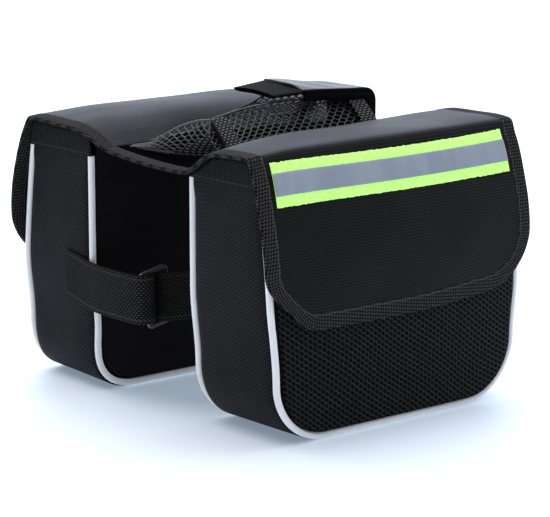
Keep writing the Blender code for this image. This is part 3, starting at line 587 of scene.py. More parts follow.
# name: dark, light, width and height of a bump in mm, relief in m, roughness, specular, sheen
boxCloth = clothMaterial("boxCloth", (0.0018, 0.0017, 0.0020), (0.0310, 0.0295, 0.0345), 4.0, 1.15,
                         0.00028, 0.66, 0.10)
innerCloth = clothMaterial("innerCloth", (0.0024, 0.0018, 0.0018), (0.0200, 0.0165, 0.0160), 2.5, 1.3,
                           0.00018, 0.85, 0.10)
coverCloth = clothMaterial("coverCloth", (0.0004, 0.0004, 0.0005), (0.0112, 0.0098, 0.0092), 1.2, 1.7,
                           0.00016, 0.42, 0.08, 0.02)
bridgeBlack = clothMaterial("bridgeBlack", (0.0008, 0.0008, 0.0010), (0.0060, 0.0060, 0.0065), 2.1, 1.3,
                            0.00014, 0.9, 0.0)
lidNylon = clothMaterial("lidNylon", (0.0020, 0.0020, 0.0024), (0.030, 0.030, 0.034), 1.3, 1.3,
                         0.00012, 0.34, 0.40, 0.06)

# name: dark, light, width and height of a bump in mm, angle, relief in m, rows of stitches in mm
twillTape = tapeMaterial("twillTape", (0.0010, 0.0010, 0.0012), (0.090, 0.084, 0.080), 3.0, 1.25, 50.0,
                         0.00034, (8.6,))
hemTape = tapeMaterial("hemTape", (0.0012, 0.0012, 0.0014), (0.052, 0.050, 0.055), 1.6, 1.6, 90.0,
                       0.00034, (1.4,))
ladderTape = tapeMaterial("ladderTape", (0.0012, 0.0012, 0.0014), (0.190, 0.190, 0.205), 3.6, 1.7, 0.0,
                          0.00040)
strapWeb = tapeMaterial("strapWeb", (0.0010, 0.0010, 0.0010), (0.068, 0.065, 0.063), 2.4, 1.3, 0.0,
                        0.00036, (2.6, 26.4), 0.75)
# the right strap's webbing: strapWeb made darker, painted shade for the shadow it lies in beside the near
# pouch
shadedWeb = tapeMaterial("shadedWeb", (0.0010, 0.0010, 0.0010), (0.030, 0.029, 0.027), 2.4, 1.3, 0.0,
                         0.00036, (2.6, 26.4), 0.8)
tabWeb = tapeMaterial("tabWeb", (0.0010, 0.0010, 0.0012), (0.014, 0.0135, 0.015), 1.8, 1.3, 45.0,
                      0.00018, (3.4, 33.1))
whitePiping, fineNetting, netYarn = pipingMaterial(), meshMaterial(), threadMaterial()
neonTape, silverFilm, ringPlastic = neonMaterial(), silverMaterial(), plasticMaterial()
print("materials made")


# Pouches

boxLook = {  # how the sewn pouches differ from the solids
    "bandCrown": 0.0008, "seamTuck": 0.0013, "tuckWidth": 0.03, "inwardSag": 0.0009,
    "wrinkle": 0.0003, "pipingRadius": 0.0020, "hemRise": 0.008, "drawnMesh": 1.2,
    "cornerRise": 0.0026, "riseX": (0.045, 0.050), "riseZ": (0.010, 0.070),
    "innerPush": 0.0054, "outerPush": 0.0032, "nearTurn": 0.0012, "farTurn": 0.0011,
    "farLow": 0.0013, "lowZ": (0.010, 0.040), "turnX": (0.050, 0.040), "turnDepth": 0.045,
    "liftLow": (0.004, 0.03), "liftTop": (-0.139, 0.012),
}


def heart(side):  # a point inside a pouch
    return (0.0, side * 0.08, 0.075)


# 1 at a pouch's inner face, falling evenly to 0 over the turned depth
def innerShare(y):
    return 1.0 - np.clip((np.abs(y) - innerFace) / boxLook["turnDepth"], 0.0, 1.0)


# uneven sewing: the near pouch's lower +X corner is raised, the far pouch's lower -X corner is
# pushed out from its centre by sin(2 angle) squared, and the inner edges at -X slide along X
def shapeCorners(points):
    x, y, z = points[..., 0], points[..., 1], points[..., 2]
    raised = (y < 0) * easeOver(x, boxLook["riseX"]) * (1.0 - easeOver(z, boxLook["riseZ"]))
    corner = pouch["corner"]
    across, down = -x - (pouchHalf(corner) - corner), corner - z
    angle = np.arctan2(np.maximum(down, 0.0), np.maximum(across, 0.0))
    depth = np.clip((y - innerFace) / pouch["depth"], 0.0, 1.0)
    push = boxLook["innerPush"] + (boxLook["outerPush"] - boxLook["innerPush"]) * depth
    push = push * (y > 0) * np.sin(2.0 * angle)**2
    push = push * np.clip(np.hypot(across, down) / corner, 0.0, 1.1)**3
    lowered = np.maximum(z - push * np.sin(angle), z.min())
    low = 1.0 - easeOver(z, boxLook["lowZ"])
    slide = np.where(y < 0, boxLook["nearTurn"], -boxLook["farTurn"] - boxLook["farLow"] * low)
    slide = slide * innerShare(y) * easeOver(-x, boxLook["turnX"])
    return joined(x - push * np.cos(angle) + slide, y, lowered + boxLook["cornerRise"] * raised)


# one cloth of a pouch, stretched between what it rests on
def stretchedCloth(name, node, word, points, uv, material, wall=pouch["cloth"]):
    piece = gridPiece(f"{name}_{word}", points, uv, material, [f"{node}_{word}"],
                      inside=heart(sides[word]), wall=wall)


# U-shaped band: the outline carried across from the inner piping to the outer one, crowned a
# little between its seams and tucked in beside them
def makeBand(word, side):
    edge = pouch["pipingRadius"] + pouch["clearance"]
    across = np.linspace(0.0, 1.0, 29)
    near = innerFace + edge
    topY = near + (outerFace(pouch["height"]) - edge - near) * across
    front, rear = (outline(0.0, mouthHeight(side, end, side * topY)) for end in (-1.0, 1.0))
    middle = front[0].shape[0] // 2
    x, z = (np.concatenate([front[axis][:middle], rear[axis][middle:]]) for axis in (0, 1))
    y = near + (outerFace(z) - edge - near) * across
    points = joined(x, side * y, z)
    u, v = side * y * 1000.0, runLength(points, 0)
    rounded = np.sin(math.pi * across)
    tuck = np.exp(-across / boxLook["tuckWidth"]) + np.exp(-(1.0 - across) / boxLook["tuckWidth"])
    free = easeOver(z, boxLook["liftLow"]) * easeOver(-z, boxLook["liftTop"])
    lift = free * (boxLook["bandCrown"] * rounded**0.7 - boxLook["seamTuck"] * tuck
                   + boxLook["wrinkle"] * rounded * swell(2.2 * u, v, 3.0 + side))
    points = shapeCorners(points + outwardFrom(points, lift))
    stretchedCloth("band", "gusset", word, points, joined(u, v), boxCloth)


# moves the band's points outwards in the plane of its outline
def outwardFrom(points, lift):
    way = heading(points, 0)
    out = joined(way[..., 2], 0.0, -way[..., 0])
    side = np.sign(np.sum(out * (points - np.array([0.0, 0.0, 0.09])), -1).mean())
    return side * out * lift[..., None]


# half length and height of a face panel's rows, 0 at the floor and 1 at its top
def panelRows(share, top):
    edge = 2 * pouch["pipingRadius"] + 2 * pouch["clearance"]
    radius = pouch["corner"] - edge
    centre = pouchHalf(pouch["corner"]) - pouch["corner"]
    turn = 0.4
    angle = math.pi / 2 * (1.0 - np.minimum(share / turn, 1.0))
    height = pouch["corner"] + (top - pouch["corner"]) * np.maximum(share - turn, 0.0) / (1.0 - turn)
    low = share <= turn
    half = np.where(low, centre + radius * np.cos(angle), pouchHalf(height) - edge)
    return half, np.where(low, pouch["corner"] - radius * np.sin(angle), height)


# the face under the flap: flat, swelling by (1 - along^2) sin(height), none at its rim
def outerSurface(along, z):
    bulge = pouch["panelBulge"] * (1.0 - along**2) * np.sin(math.pi * z / pouch["height"])
    return outerFace(z) + pouch["cloth"] / 2 + bulge


# the inner panel sags inwards by (1 - along^4) sin(height), the outer one and its netting swell
def makePanels(word, side):
    share, along = np.meshgrid(np.linspace(0.0, 1.0, 61), np.linspace(-1.0, 1.0, 71), indexing="ij")
    under = side * (innerFace - pouch["cloth"] / 2 - pouch["clearance"])
    top = np.array([underCover(side, x, under) for x in along[0] * (pouch["length"] / 2)])
    half, z = panelRows(share, top[None])
    x = along * half
    free = (1.0 - along**4) * np.sin(math.pi * np.clip(z / 0.15, 0.0, 1.0))
    sag = boxLook["inwardSag"] * free * (0.6 + 0.4 * swell(x * 1000, z * 1000, 5.0 + side))
    points = shapeCorners(joined(x, side * (innerFace - pouch["cloth"] / 2 + sag), z))
    stretchedCloth("innerPanel", "inner_panel", word, points, joined(x, z) * 1000, innerCloth)

    half, z = panelRows(share, pouch["height"] - pouch["hemHeight"] / 2)
    x = along * half
    points = shapeCorners(joined(x, side * outerSurface(along, z), z))
    stretchedCloth("outerPanel", "outer_panel", word, points, joined(x, z) * 1000, innerCloth)

    half, z = panelRows(share, pouch["meshHeight"])
    x = along * half
    drawn = joined(swell(x * 900, z * 900, 1.0), swell(z * 900, x * 900, 2.0)) * boxLook["drawnMesh"]
    y = outerSurface(along, z) + pouch["clearance"] + pouch["meshCloth"]
    stretchedCloth("frontNetting", "mesh_panel", word, shapeCorners(joined(x, side * y, z)),
                   joined(x, z) * 1000 + drawn, fineNetting, pouch["meshCloth"])


# piping: a tube along the outline, proud of the ends and just clear of the floor
def makePiping(word, side):
    radius = boxLook["pipingRadius"]
    top = pouch["height"] - pouch["hemHeight"]
    flushX, flushZ = outline(radius + pouch["clearance"], top)
    proudX, proudZ = outline(radius - pouch["pipingProud"], top)
    share = ease(flushZ / pouch["corner"])
    x, z = flushX + (proudX - flushX) * share, flushZ + (proudZ - flushZ) * share
    for name, y in (("inner", innerFace), ("outer", outerFace(z))):
        tubePiece(f"{name}Piping_{word}", shapeCorners(joined(x, side * y, z)), radius, 16, whitePiping,
                  [f"{name}_piping_{word}"], (0.0, 1.0, 0.0))


# ribbed tape over the top of one end of the band
def makeHem(word, side, endWord, end):
    low = pouch["height"] - pouch["hemHeight"] + pouch["clearance"]
    rise, across = np.meshgrid(np.linspace(0.0, 1.0, 9), np.linspace(0.0, 1.0, 49), indexing="ij")
    near = innerFace - pouch["pipingRadius"]
    topY = near + (outerFace(pouch["height"]) - near) * across[0]
    top = mouthHeight(side, end, side * topY, pouch["height"] + boxLook["hemRise"])
    z = low + (top[None] - low) * rise
    y = near + (outerFace(z) - pouch["clearance"] - near) * across
    x = end * (pouchHalf(z) + pouch["hemCloth"] + pouch["clearance"])
    gridPiece(f"hem_{endWord}_{word}", shapeCorners(joined(x, side * y, z)), joined(y, z - low) * 1000,
              hemTape, [f"mouth_hem_{endWord}_{word}"], inside=heart(side),
              wall=pouch["hemCloth"])


for word, side in sides.items():
    makePiping(word, side)
    makeBand(word, side)
    makePanels(word, side)
    for endWord, end in (("front", -1.0), ("rear", 1.0)):
        makeHem(word, side, endWord, end)
print("pouches made")


# Covers

coverLook = {  # wrinkles of the cloth, and the reflective band
    "wrinkle": 0.00035, "tapeLength": 0.1735, "tapeHeight": 0.025, "tapeDrop": 0.0031,
    "tapeCloth": 0.0004, "silverHeight": 0.013, "silverCloth": 0.0003, "tapeGap": 0.0001,
    "ragged": 0.00018, "bow": 0.0019, "slant": 0.0006, "hemRun": 0.015, "seamRun": 0.010,
    "calmDrop": 0.014, "calmRun": 0.016,
}


# half length of the cover at a reach, with its rounded corners, set in by inset
def coverHalf(reach, inset):
    radius = cover["corner"] - inset
    drop = np.maximum(cover["corner"] - reach, 0.0)
    turned = cover["length"] / 2 - inset - radius + np.sqrt(np.maximum(radius**2 - drop**2, 0.0))
    return np.where(drop > 0.0, turned, cover["length"] / 2 - inset)


# the cover's cloth over its surface, wrinkled by a swell that fades out at its seams and tape
def makeCover(word, side):
    inset = cover["bindingWidth"] - cover["tuck"]
    turn = cover["corner"] - (cover["corner"] - inset) * np.cos(np.linspace(0.0, math.pi / 2, 22))
    rest = np.linspace(cover["corner"], coverReach - cover["seamGap"], 100)[1:]
    reach, along = np.meshgrid(np.concatenate([turn, rest]), np.linspace(-1.0, 1.0, 111), indexing="ij")
    x = along * coverHalf(reach, inset)
    uv = joined(x, reach) * 1000.0
    free = ease((reach - inset) / coverLook["hemRun"]) * ease((coverReach - reach) / coverLook["seamRun"])
    free = free * (1.0 - np.abs(along)**6)
    calm = foldReach - coverLook["calmDrop"]  # the tape keeps its stretch flat
    band = ease(np.abs(reach - calm) / coverLook["calmRun"])
    lift = coverLook["wrinkle"] * swell(uv[..., 0], uv[..., 1], 2.0 + 3.0 * side) * free * band
    points = coverShell(side, x, reach, lift)
    piece = gridPiece(f"coverCloth_{word}", points, uv, coverCloth, [f"cover_{word}"],
                      inside=heart(side), wall=pouch["cloth"])
    onIt = [makeBinding(word, side)] + makeTape(word, side)


# route of the binding round the cover's edge: place and inward direction in the flat cloth, from
# the seam at -X round the flap to the seam at +X
def bindingRoute():
    corner, centre = cover["corner"], cover["length"] / 2 - cover["corner"]
    fall = np.linspace(coverReach, corner, 150)[:-1]
    angle = np.linspace(0.0, math.pi / 2, 34)
    hem = np.linspace(-centre, centre, 90)[1:-1]
    dirX = np.concatenate([np.ones_like(fall), np.cos(angle)])
    dirR = np.concatenate([np.zeros_like(fall), np.sin(angle)])
    x, reach = -centre - corner * dirX, np.concatenate([fall, corner - corner * np.sin(angle)])
    return (np.concatenate([x, hem, -x[::-1]]), np.concatenate([reach, 0 * hem, reach[::-1]]),
            np.concatenate([dirX, 0 * hem, -dirX[::-1]]), np.concatenate([dirR, 1 + 0 * hem, dirR[::-1]]))


# the rounded section carried along the route, above the cover's surface
def makeBinding(word, side):
    x, reach, dirX, dirR = (part[:, None] for part in bindingRoute())
    across, height = bandSection(18)
    inset = across * cover["bindingWidth"]
    lift = pouch["clearance"] + height * cover["binding"] + 0 * x
    points = coverShell(side, x + dirX * inset, reach + dirR * inset, lift)
    uv = bandUv(runLength(points[:, :1], 0), across, cover["bindingWidth"])
    return gridPiece(f"coverBinding_{word}", points, uv, twillTape,
                     [f"cover_binding_{word}"], wrap=True, sharp=60.0)


# neon tape with a silver film along its middle, the long edges a little ragged: it bows by
# (1 - along^2) and its ends slant
def makeTape(word, side):
    dice = np.random.default_rng(7)
    zs = coverRows(1.0, np.zeros(1))[1]
    flapCount = len(flapRows) + 1
    top = np.interp(cover["foldHeight"] - coverLook["tapeDrop"], zs[:flapCount, 0], coverKnots[:flapCount])
    rise, along = np.meshgrid(np.linspace(0.0, 1.0, 15), np.linspace(-0.5, 0.5, 241), indexing="ij")
    lift, made = 0.0, []
    for name, node, slot, height, wall, ragged, material in (
            ("neonTape", "neon_tape", "neon_tape", coverLook["tapeHeight"], coverLook["tapeCloth"],
             1.0, neonTape),
            ("silverFilm", "silver_stripe", "silver_film", coverLook["silverHeight"],
             coverLook["silverCloth"], 0.15, silverFilm)):
        lift += coverLook["tapeGap"] + wall
        rough = dice.normal(size=(2, 241)) * coverLook["ragged"] * ragged
        reach = (top - coverLook["tapeHeight"] / 2 - height / 2 + height * rise
                 + rough[0] * (1.0 - rise)**8 + rough[1] * rise**8)
        x = coverLook["tapeLength"] * along
        uv = joined(x, reach) * 1000
        share = (reach - top + coverLook["tapeHeight"]) / coverLook["tapeHeight"]
        x = x - coverLook["slant"] * (1.0 - share) * ease(-1.0 - 4.0 * along)
        reach = reach - coverLook["bow"] * (1.0 - (2.0 * along)**2) * (0.55 + 0.45 * share)
        points = coverShell(side, x, reach, np.full(x.shape, lift))
        made.append(gridPiece(f"{name}_{word}", points, uv, material, [f"{node}_{word}"],
                              inside=heart(side), wall=wall))
    return made


for word, side in sides.items():
    makeCover(word, side)
print("covers made")


# Bridge

# the cloth between the two seams, sagging by a parabola
def bridgePoint(x, y, lift):
    sag = sway["sag"] * (1.0 - (2.0 * y / cover["seamSpread"])**2)
    return settle(x, y, cover["seamHeight"] - sag + lift)


# the bridge's cloth, and the same rounded section along its two free edges
def makeBridge():
    halfWidth = cover["seamSpread"] / 2 - cover["seamGap"]
    half = cover["length"] / 2 - cover["bindingWidth"] + cover["tuck"]
    x, y = np.meshgrid(np.linspace(-half, half, 91), np.linspace(-halfWidth, halfWidth, 37), indexing="ij")
    clothPoints = bridgePoint(x, y, 0.0)
    cloth = gridPiece("bridgeCloth", clothPoints, joined(x, y) * 1000, bridgeBlack,
                      ["bridge"], wall=pouch["cloth"])
    across, height = bandSection(16)
    y = np.linspace(-halfWidth, halfWidth, 61)[:, None]
    lift = pouch["clearance"] + height * cover["binding"]
    for word, end in (("front", -1.0), ("rear", 1.0)):
        points = bridgePoint(end * (cover["length"] / 2 - cover["bindingWidth"] * across), y, lift)
        uv = bandUv(y * 1000, across, cover["bindingWidth"])
        gridPiece(f"bridgeBinding_{word}", points, uv, twillTape,
                               [f"bridge_binding_{word}"], wrap=True, sharp=60.0)


makeBridge()
print("bridge made")


# Net pocket

pocket = {  # the coarse net, its slumped end, the tape at that end and a dark cord of painted shade along its fold, and the ribbed strips
    "front": -0.066, "back": 0.066, "base": 0.066, "top": 0.0285, "height": 0.0245, "knee": 0.78,
    "cloth": 0.001, "bulge": 0.0015, "slump": 0.0045, "stripWidth": 0.012, "stripInset": 0.006,
    "stripCloth": 0.0012, "lidBand": 0.0065, "threadPitch": 0.0029, "threadPeriod": 0.0046,
    "threadRadius": 0.00042, "threadDrop": 0.0002, "wallHeight": 0.0300, "endSize": (0.064, 0.019),
    "rimRadius": 0.0006, "endRimRadius": 0.0008, "footRadius": 0.0007, "sideFoot": 0.03, "endFoot": 0.04,
    "gusset": 0.55, "gussetHeight": 0.62, "gussetCloth": 0.0004, "gussetOut": 0.0007, "shadeTop": 0.76,
    "shadeStart": 0.0045, "shadeLean": 0.0015, "shadeLift": 0.0022, "shadeRadius": 0.0011,
}

# rim of the net: place along the pocket, height on the right side and on the left
rimRows = np.array([(0.00, 0.76, 0.04), (0.14, 0.82, 0.10), (0.25, 0.88, 0.16), (0.36, 0.92, 0.36),
                    (0.47, 0.96, 0.68), (0.58, 0.95, 0.92), (0.93, 0.95, 0.95), (1.00, 0.78, 0.78)])


# height of the rim, straight between the rows
def rimShare(along, side):
    return np.interp(along, rimRows[:, 0], rimRows[:, 1 if side < 0 else 2])


# on a side of the net: it leans in from the bridge up to the knee, then stands
def netPoint(side, x, rise, lift):
    x, rise, lift = np.broadcast_arrays(x, rise, lift)
    lean = np.minimum(rise / pocket["knee"], 1.0)
    run = (pocket["base"] - pocket["top"]) / 2
    climb = pocket["height"] * pocket["knee"]
    slant = math.hypot(run, climb)
    half = pocket["base"] / 2 - run * lean + pocket["bulge"] * np.sin(math.pi * lean)
    base = bridgePoint(x, side * pocket["base"] / 2 + 0 * x, pouch["clearance"] + pocket["cloth"])
    point = bridgePoint(x, side * (half + lift * climb / slant), 0.0)
    point[..., 2] = base[..., 2] + pocket["height"] * rise + lift * run / slant
    return point


netEnd = pocket["back"] + pocket["cloth"] + pouch["cloth"] - pocket["lidBand"]


# place along X, even from the front to the lid's band
def pocketX(along):
    return pocket["front"] + (netEnd - pocket["front"]) * along


# the slumped end, from the right corner to the left one: where its top and foot stand
endTop = np.array([
    (0.00, -0.0655, -0.0235, 0.1690), (0.16, -0.0666, -0.0155, 0.1676), (0.30, -0.0677, -0.0100, 0.1660),
    (0.46, -0.0700, -0.0010, 0.1626), (0.64, -0.0730, 0.0096, 0.1566), (0.82, -0.0760, 0.0197, 0.1506),
    (1.00, -0.0795, 0.0330, 0.1470)])
endFoot = np.array([
    (0.00, -0.0645, -0.0325, 0.1505), (0.25, -0.0720, -0.0190, 0.1490), (0.50, -0.0775, -0.0030, 0.1480),
    (0.75, -0.0800, 0.0150, 0.1474), (1.00, -0.0805, 0.0335, 0.1464)])


# straight from foot to top, swelling forward by a sine between them
def endPoint(across, rise):
    across, rise = np.broadcast_arrays(across, rise)
    place, up = across.ravel(), rise.ravel()
    top, foot = (joined(*(throughRows(rows[:, 0], rows[:, axis, None], place) for axis in (1, 2, 3)))
                 for rows in (endTop, endFoot))
    point = settle(*(foot + (top - foot) * up[:, None]).T)
    point[:, 0] -= pocket["slump"] * np.sin(math.pi * up) * (1.0 - 0.7 * place)
    return point.reshape(across.shape + (3,))


# many threads as one mesh: paths (threads, points, 3), each a tube with closed ends
def threadPiece(name, paths, node):
    radius, count = pocket["threadRadius"], 6
    way = heading(paths, 1)
    side = np.cross(way, np.array([0.13, 0.21, 0.97]))
    side /= np.maximum(np.linalg.norm(side, axis=-1, keepdims=True), 1e-9)
    high = np.cross(side, way)
    angle = np.linspace(0.0, 2 * math.pi, count, endpoint=False)[:, None]
    ring = np.cos(angle) * side[:, :, None] + np.sin(angle) * high[:, :, None]
    points = paths[:, :, None] + radius * ring
    ids = np.arange(points[..., 0].size).reshape(points.shape[:3])
    ids = np.concatenate([ids, ids[..., :1]], -1)
    uv = joined(runLength(paths, 1)[..., None], np.linspace(0, 2000 * math.pi * radius, count + 1))
    quads, quadUv = (np.stack([grid[:, :-1, :-1], grid[:, :-1, 1:], grid[:, 1:, 1:], grid[:, 1:, :-1]], 3)
                     for grid in (ids, uv))
    ends = np.concatenate([ids[:, 0, :count][:, ::-1], ids[:, -1, :count]])
    loopUv = np.concatenate([quadUv.reshape(-1, 2), np.zeros((ends.size, 2))])
    return addPiece(name, points, quads.reshape(-1, 4).tolist() + ends.tolist(), loopUv, netYarn,
                    [node])


# wavy threads that touch their neighbours in turn, on a surface place(along, rise): neighbours
# swing against each other by a sine to the power 0.65
def netThreads(place, length, height):
    count = max(2, int(round(length / pocket["threadPitch"])))
    periods = height / pocket["threadPeriod"]
    rise = np.linspace(0.0, 1.0, max(8, int(periods * 10)))
    line = np.arange(count + 1)[:, None]
    wave = np.sin(2 * math.pi * periods * rise)[None] * np.where(line % 2, 1.0, -1.0)
    wave = np.sign(wave) * np.abs(wave)**0.65
    inner = ((line > 0) & (line < count)).astype(float)
    along = (line + 0.47 * wave * inner) / count
    return place(along, np.broadcast_to(rise[None], along.shape))


def netCord(name, path, radius=pocket["footRadius"]):  # along a rim or foot
    tubePiece(name, path, radius, 8, netYarn)


def makePocket():
    for word, side in sides.items():
        def wallPlace(along, rise, side=side):
            return netPoint(side, pocketX(along), rise * rimShare(along, side), -pocket["threadDrop"])

        threads = netThreads(wallPlace, netEnd - pocket["front"], pocket["wallHeight"])
        threadPiece(f"net_{word}", threads, f"pocket_net_{word}")
        along = np.linspace(0.0, 1.0, 90)
        rim = netPoint(side, pocketX(along), rimShare(along, side), 0.0)
        netCord(f"netRim_{word}", rim, pocket["rimRadius"])
        netCord(f"netFoot_{word}", netPoint(side, pocketX(along), pocket["sideFoot"], 0.0))
    threadPiece("net_front", netThreads(endPoint, *pocket["endSize"]), "pocket_net_front")
    across = np.linspace(0.0, 1.0, 50)
    netCord("netRim_front", endPoint(across, 1.0), pocket["endRimRadius"])
    netCord("netFoot_front", endPoint(across, pocket["endFoot"]))
    share, rise = np.meshgrid(np.linspace(0.0, 1.0, 20), np.linspace(0.0, 1.0, 14), indexing="ij")
    points = endPoint(share * pocket["gusset"], rise * pocket["gussetHeight"] * (1.0 - share)**0.8)
    points = points - pocket["gussetOut"] * np.array([1.0, 1.0, 0.0])
    gridPiece("netCorner", points, joined(runLength(points, 0), runLength(points, 1)), ladderTape,
              inside=(0, 0, 0.15), wall=pocket["gussetCloth"])
    fold = np.linspace(0.0, pocket["shadeTop"], 40)  # dark cord along the fold between the end and the first strip: painted shade for the shadowed gap there
    foldX = pocket["front"] + pocket["shadeStart"] + pocket["shadeLean"] * fold
    # a dark tube of inner cloth standing in for the shadow in the gap: painted shade
    tubePiece("netFoldShade", netPoint(-1.0, foldX, fold, pocket["shadeLift"]), pocket["shadeRadius"], 10,
              innerCloth)

    starts = {"front": pocket["front"] + pocket["stripInset"],
              "rear": pocket["back"] - pocket["stripInset"] - pocket["stripWidth"]}
    for word, side in sides.items():
        for endWord, start in starts.items():
            x, rise = np.meshgrid(start + pocket["stripWidth"] * np.linspace(0.0, 1.0, 13),
                                  np.linspace(0.0, 1.0, 31), indexing="ij")
            along = (x - pocket["front"]) / (pocket["back"] - pocket["front"])
            top = np.minimum(rimShare(along, side), pocket["knee"]) - pocket["stripCloth"] / pocket["height"]
            lift = pocket["cloth"] + 3 * pouch["clearance"] + pocket["stripCloth"]
            points = netPoint(side, x, top * rise, lift)
            gridPiece(f"strip_{endWord}_{word}", points, joined((x - start) * 1000, runLength(points, 1)),
                      ladderTape, [f"pocket_strip_{endWord}_{word}"], inside=(0, 0, 0.147),
                      wall=pocket["stripCloth"])


makePocket()
print("pocket made")


# Lid

lid = {  # the lid with its crumple and twist, and the pull tab with its slopes
    "start": 0.013, "tab": 0.0225, "width": 0.0335, "corner": 0.0085, "band": 0.0065,
    "bandCloth": 0.0015, "tabCloth": 0.0026, "twist": 0.0016, "crown": 0.0012, "rise": 0.0038,
    "slope": 0.050, "crumple": 0.0009, "crumpleWaves": (190.0, 60.0), "calmFrom": 0.066,
    "calmRun": 0.02, "tabFall": 0.0006, "tabLean": 0.0016,
}


# 1 at the lid's free end, falling to 0 over its slope
def lidSlope(x):
    return 1.0 - ease((x - lid["start"]) / lid["slope"])


# (x, z) of the lid's outer surface from its free end over the bend to the bridge
def lidRoute():
    low = cover["seamHeight"] + pouch["clearance"]
    top = cover["seamHeight"] + pocket["height"] + pouch["cloth"] + 4 * pouch["clearance"]
    back = pocket["back"] + pocket["cloth"] + pouch["cloth"] + 2 * pouch["clearance"]
    flat = np.linspace(lid["start"] + pouch["clearance"], back - lid["corner"], 40)
    flatZ = top + lid["rise"] * lidSlope(flat)
    angle = np.linspace(0.0, math.pi / 2, 14)[1:]
    turnX = back - lid["corner"] + lid["corner"] * np.sin(angle)
    turnZ = top - lid["corner"] + lid["corner"] * np.cos(angle)
    down = np.linspace(top - lid["corner"], low, 14)[1:]
    return np.concatenate([flat, turnX, back + 0 * down]), np.concatenate([flatZ, turnZ, down])


# the lid's cloth: its route crowned by (1 - across^2) and crumpled by a sine times a cosine
def makeLid():
    routeX, routeZ = lidRoute()
    half = lid["width"] / 2
    x, a = np.meshgrid(routeX, np.linspace(-1.0, 1.0, 27), indexing="ij")
    first, second = lid["crumpleWaves"]
    crumple = lid["crumple"] * np.sin(x * first + 2.2 * a) * np.cos(1.3 * a + x * second) * (1.0 - a**2)
    flat = ease((lid["calmFrom"] - x) / lid["calmRun"])
    z = routeZ[:, None] + flat * (lid["crown"] * (1.0 - a**2) + crumple) + lid["twist"] * a * lidSlope(x)
    points, onIt = joined(x, a * half, z), []
    cloth = gridPiece("lidCloth", points, joined(runLength(points, 0), a * half * 1000), lidNylon,
                      ["pocket_lid"], inside=(0.02, 0.0, 0.147), wall=pouch["cloth"])
    way = heading(joined(routeX, 0.0, routeZ), 0)
    inward = joined(way[:, 2], 0.0, -way[:, 0])
    depth = lid["band"] * np.linspace(0.0, 1.0, 7)
    for word, side in sides.items():
        y = side * (half + pouch["clearance"] + lid["bandCloth"])
        base = joined(routeX, y, routeZ + lid["twist"] * side * lidSlope(routeX))
        onIt.append(gridPiece(f"lidBand_{word}", base[:, None] + inward[:, None] * depth[:, None],
                              joined(runLength(base, 0)[:, None], depth * 1000), tabWeb,
                              [f"lid_band_{word}"], inside=(0.04, 0.0, 0.165), wall=lid["bandCloth"]))
    tabHalf = half + lid["bandCloth"]
    share = np.linspace(0.0, 1.0, 30)[:, None]
    section, height = bandSection(20, 0.4, 0.6)
    a = 2.0 * section - 1.0
    x = lid["start"] - 2 * pouch["clearance"] - lid["tab"] * share
    fall = (lid["tabFall"] + lid["tabLean"] * ease(a)) * share
    z = routeZ[0] + lid["twist"] * a - fall + height * lid["tabCloth"]
    uv = bandUv(share * lid["tab"] * 1000, section, 2 * tabHalf)
    onIt.append(gridPiece("lidTab", joined(x, a * tabHalf, z), uv, tabWeb, ["lid_tab"],
                          wrap=True, sharp=60.0))


makeLid()
print("lid made")


# Strap and ring

strap = {  # webbing and the slotted ring, and how far each end rises
    "width": 0.029, "cloth": 0.0016, "height": 0.0645, "ringWidth": 0.020, "ringBar": 0.0024,
    "ringPlate": 0.0024, "ringCorner": 0.0016, "ringLean": 12.0, "ringSlack": 0.0002,
    "ringInset": 0.012, "leftRise": 0.005, "rightRise": 0.009, "rightSewn": 0.0525,
}
ringX = -pouch["length"] / 2 + strap["ringInset"]

# free run of the left strap: share along X to the ring, share of the half gap, share of the rise
leftRun = np.array([(0.00, 1.49, 1.00), (0.00, 1.24, 0.60), (-0.05, 1.00, 0.24), (-0.16, 0.74, 0.12),
                    (-0.20, 0.43, 0.08), (-0.18, 0.17, 0.04)])

# right strap from where it is sewn to the ring's slot, in the same shares
rightRun = np.array([
    (1.000, 1.000, 1.00), (0.762, 1.000, 1.00), (0.571, 0.990, 0.98), (0.417, 0.917, 0.89),
    (0.274, 0.711, 0.67), (0.155, 0.459, 0.39), (0.071, 0.252, 0.17), (0.019, 0.092, 0.04),
    (0.010, -0.023, 0.00), (0.029, -0.138, 0.00), (0.095, -0.229, 0.00)])


# from the band's end, in front of the ring's near bar and back through its slot
def leftRoute():
    sewn = -(pouch["length"] / 2 + strap["cloth"] / 2 + 2 * pouch["clearance"])
    free = np.stack([sewn + (ringX - sewn) * leftRun[:, 0], innerFace * leftRun[:, 1],
                     strap["leftRise"] * leftRun[:, 2]], 1)
    bar = ringX - (strap["ringWidth"] - strap["ringBar"]) / 2
    lean = math.tan(math.radians(strap["ringLean"])) * strap["width"] / 2
    reach = strap["ringBar"] / 2 + lean + strap["cloth"] / 2 + 3 * pouch["clearance"]
    front = strap["ringPlate"] + strap["cloth"] + pouch["clearance"]
    angle = np.linspace(0.0, math.pi, 7)
    turn = np.stack([bar - reach * np.cos(angle), -front * np.sin(angle), 0 * angle], 1)
    tail = np.array([(bar + reach, strap["ringWidth"] / 4, 0.0),
                     (bar + reach - strap["cloth"] / 2, strap["ringWidth"] / 2, 0.0)])
    route = np.concatenate([free, turn, tail])
    route[:, 0] -= boxLook["farTurn"] * innerShare(route[:, 1]) * ease(route[:, 1] / innerFace)
    return route


# from the inner panel, off it and into the ring's slot
def rightRoute():
    sewnX = -pouch["length"] / 2 + strap["rightSewn"]
    sewnY = -(innerFace - pouch["cloth"] / 2 - 2 * pouch["clearance"] - strap["cloth"] / 2)
    return np.stack([ringX + (sewnX - ringX) * rightRun[:, 0], sewnY * rightRun[:, 1],
                     strap["rightRise"] * rightRun[:, 2]], 1)


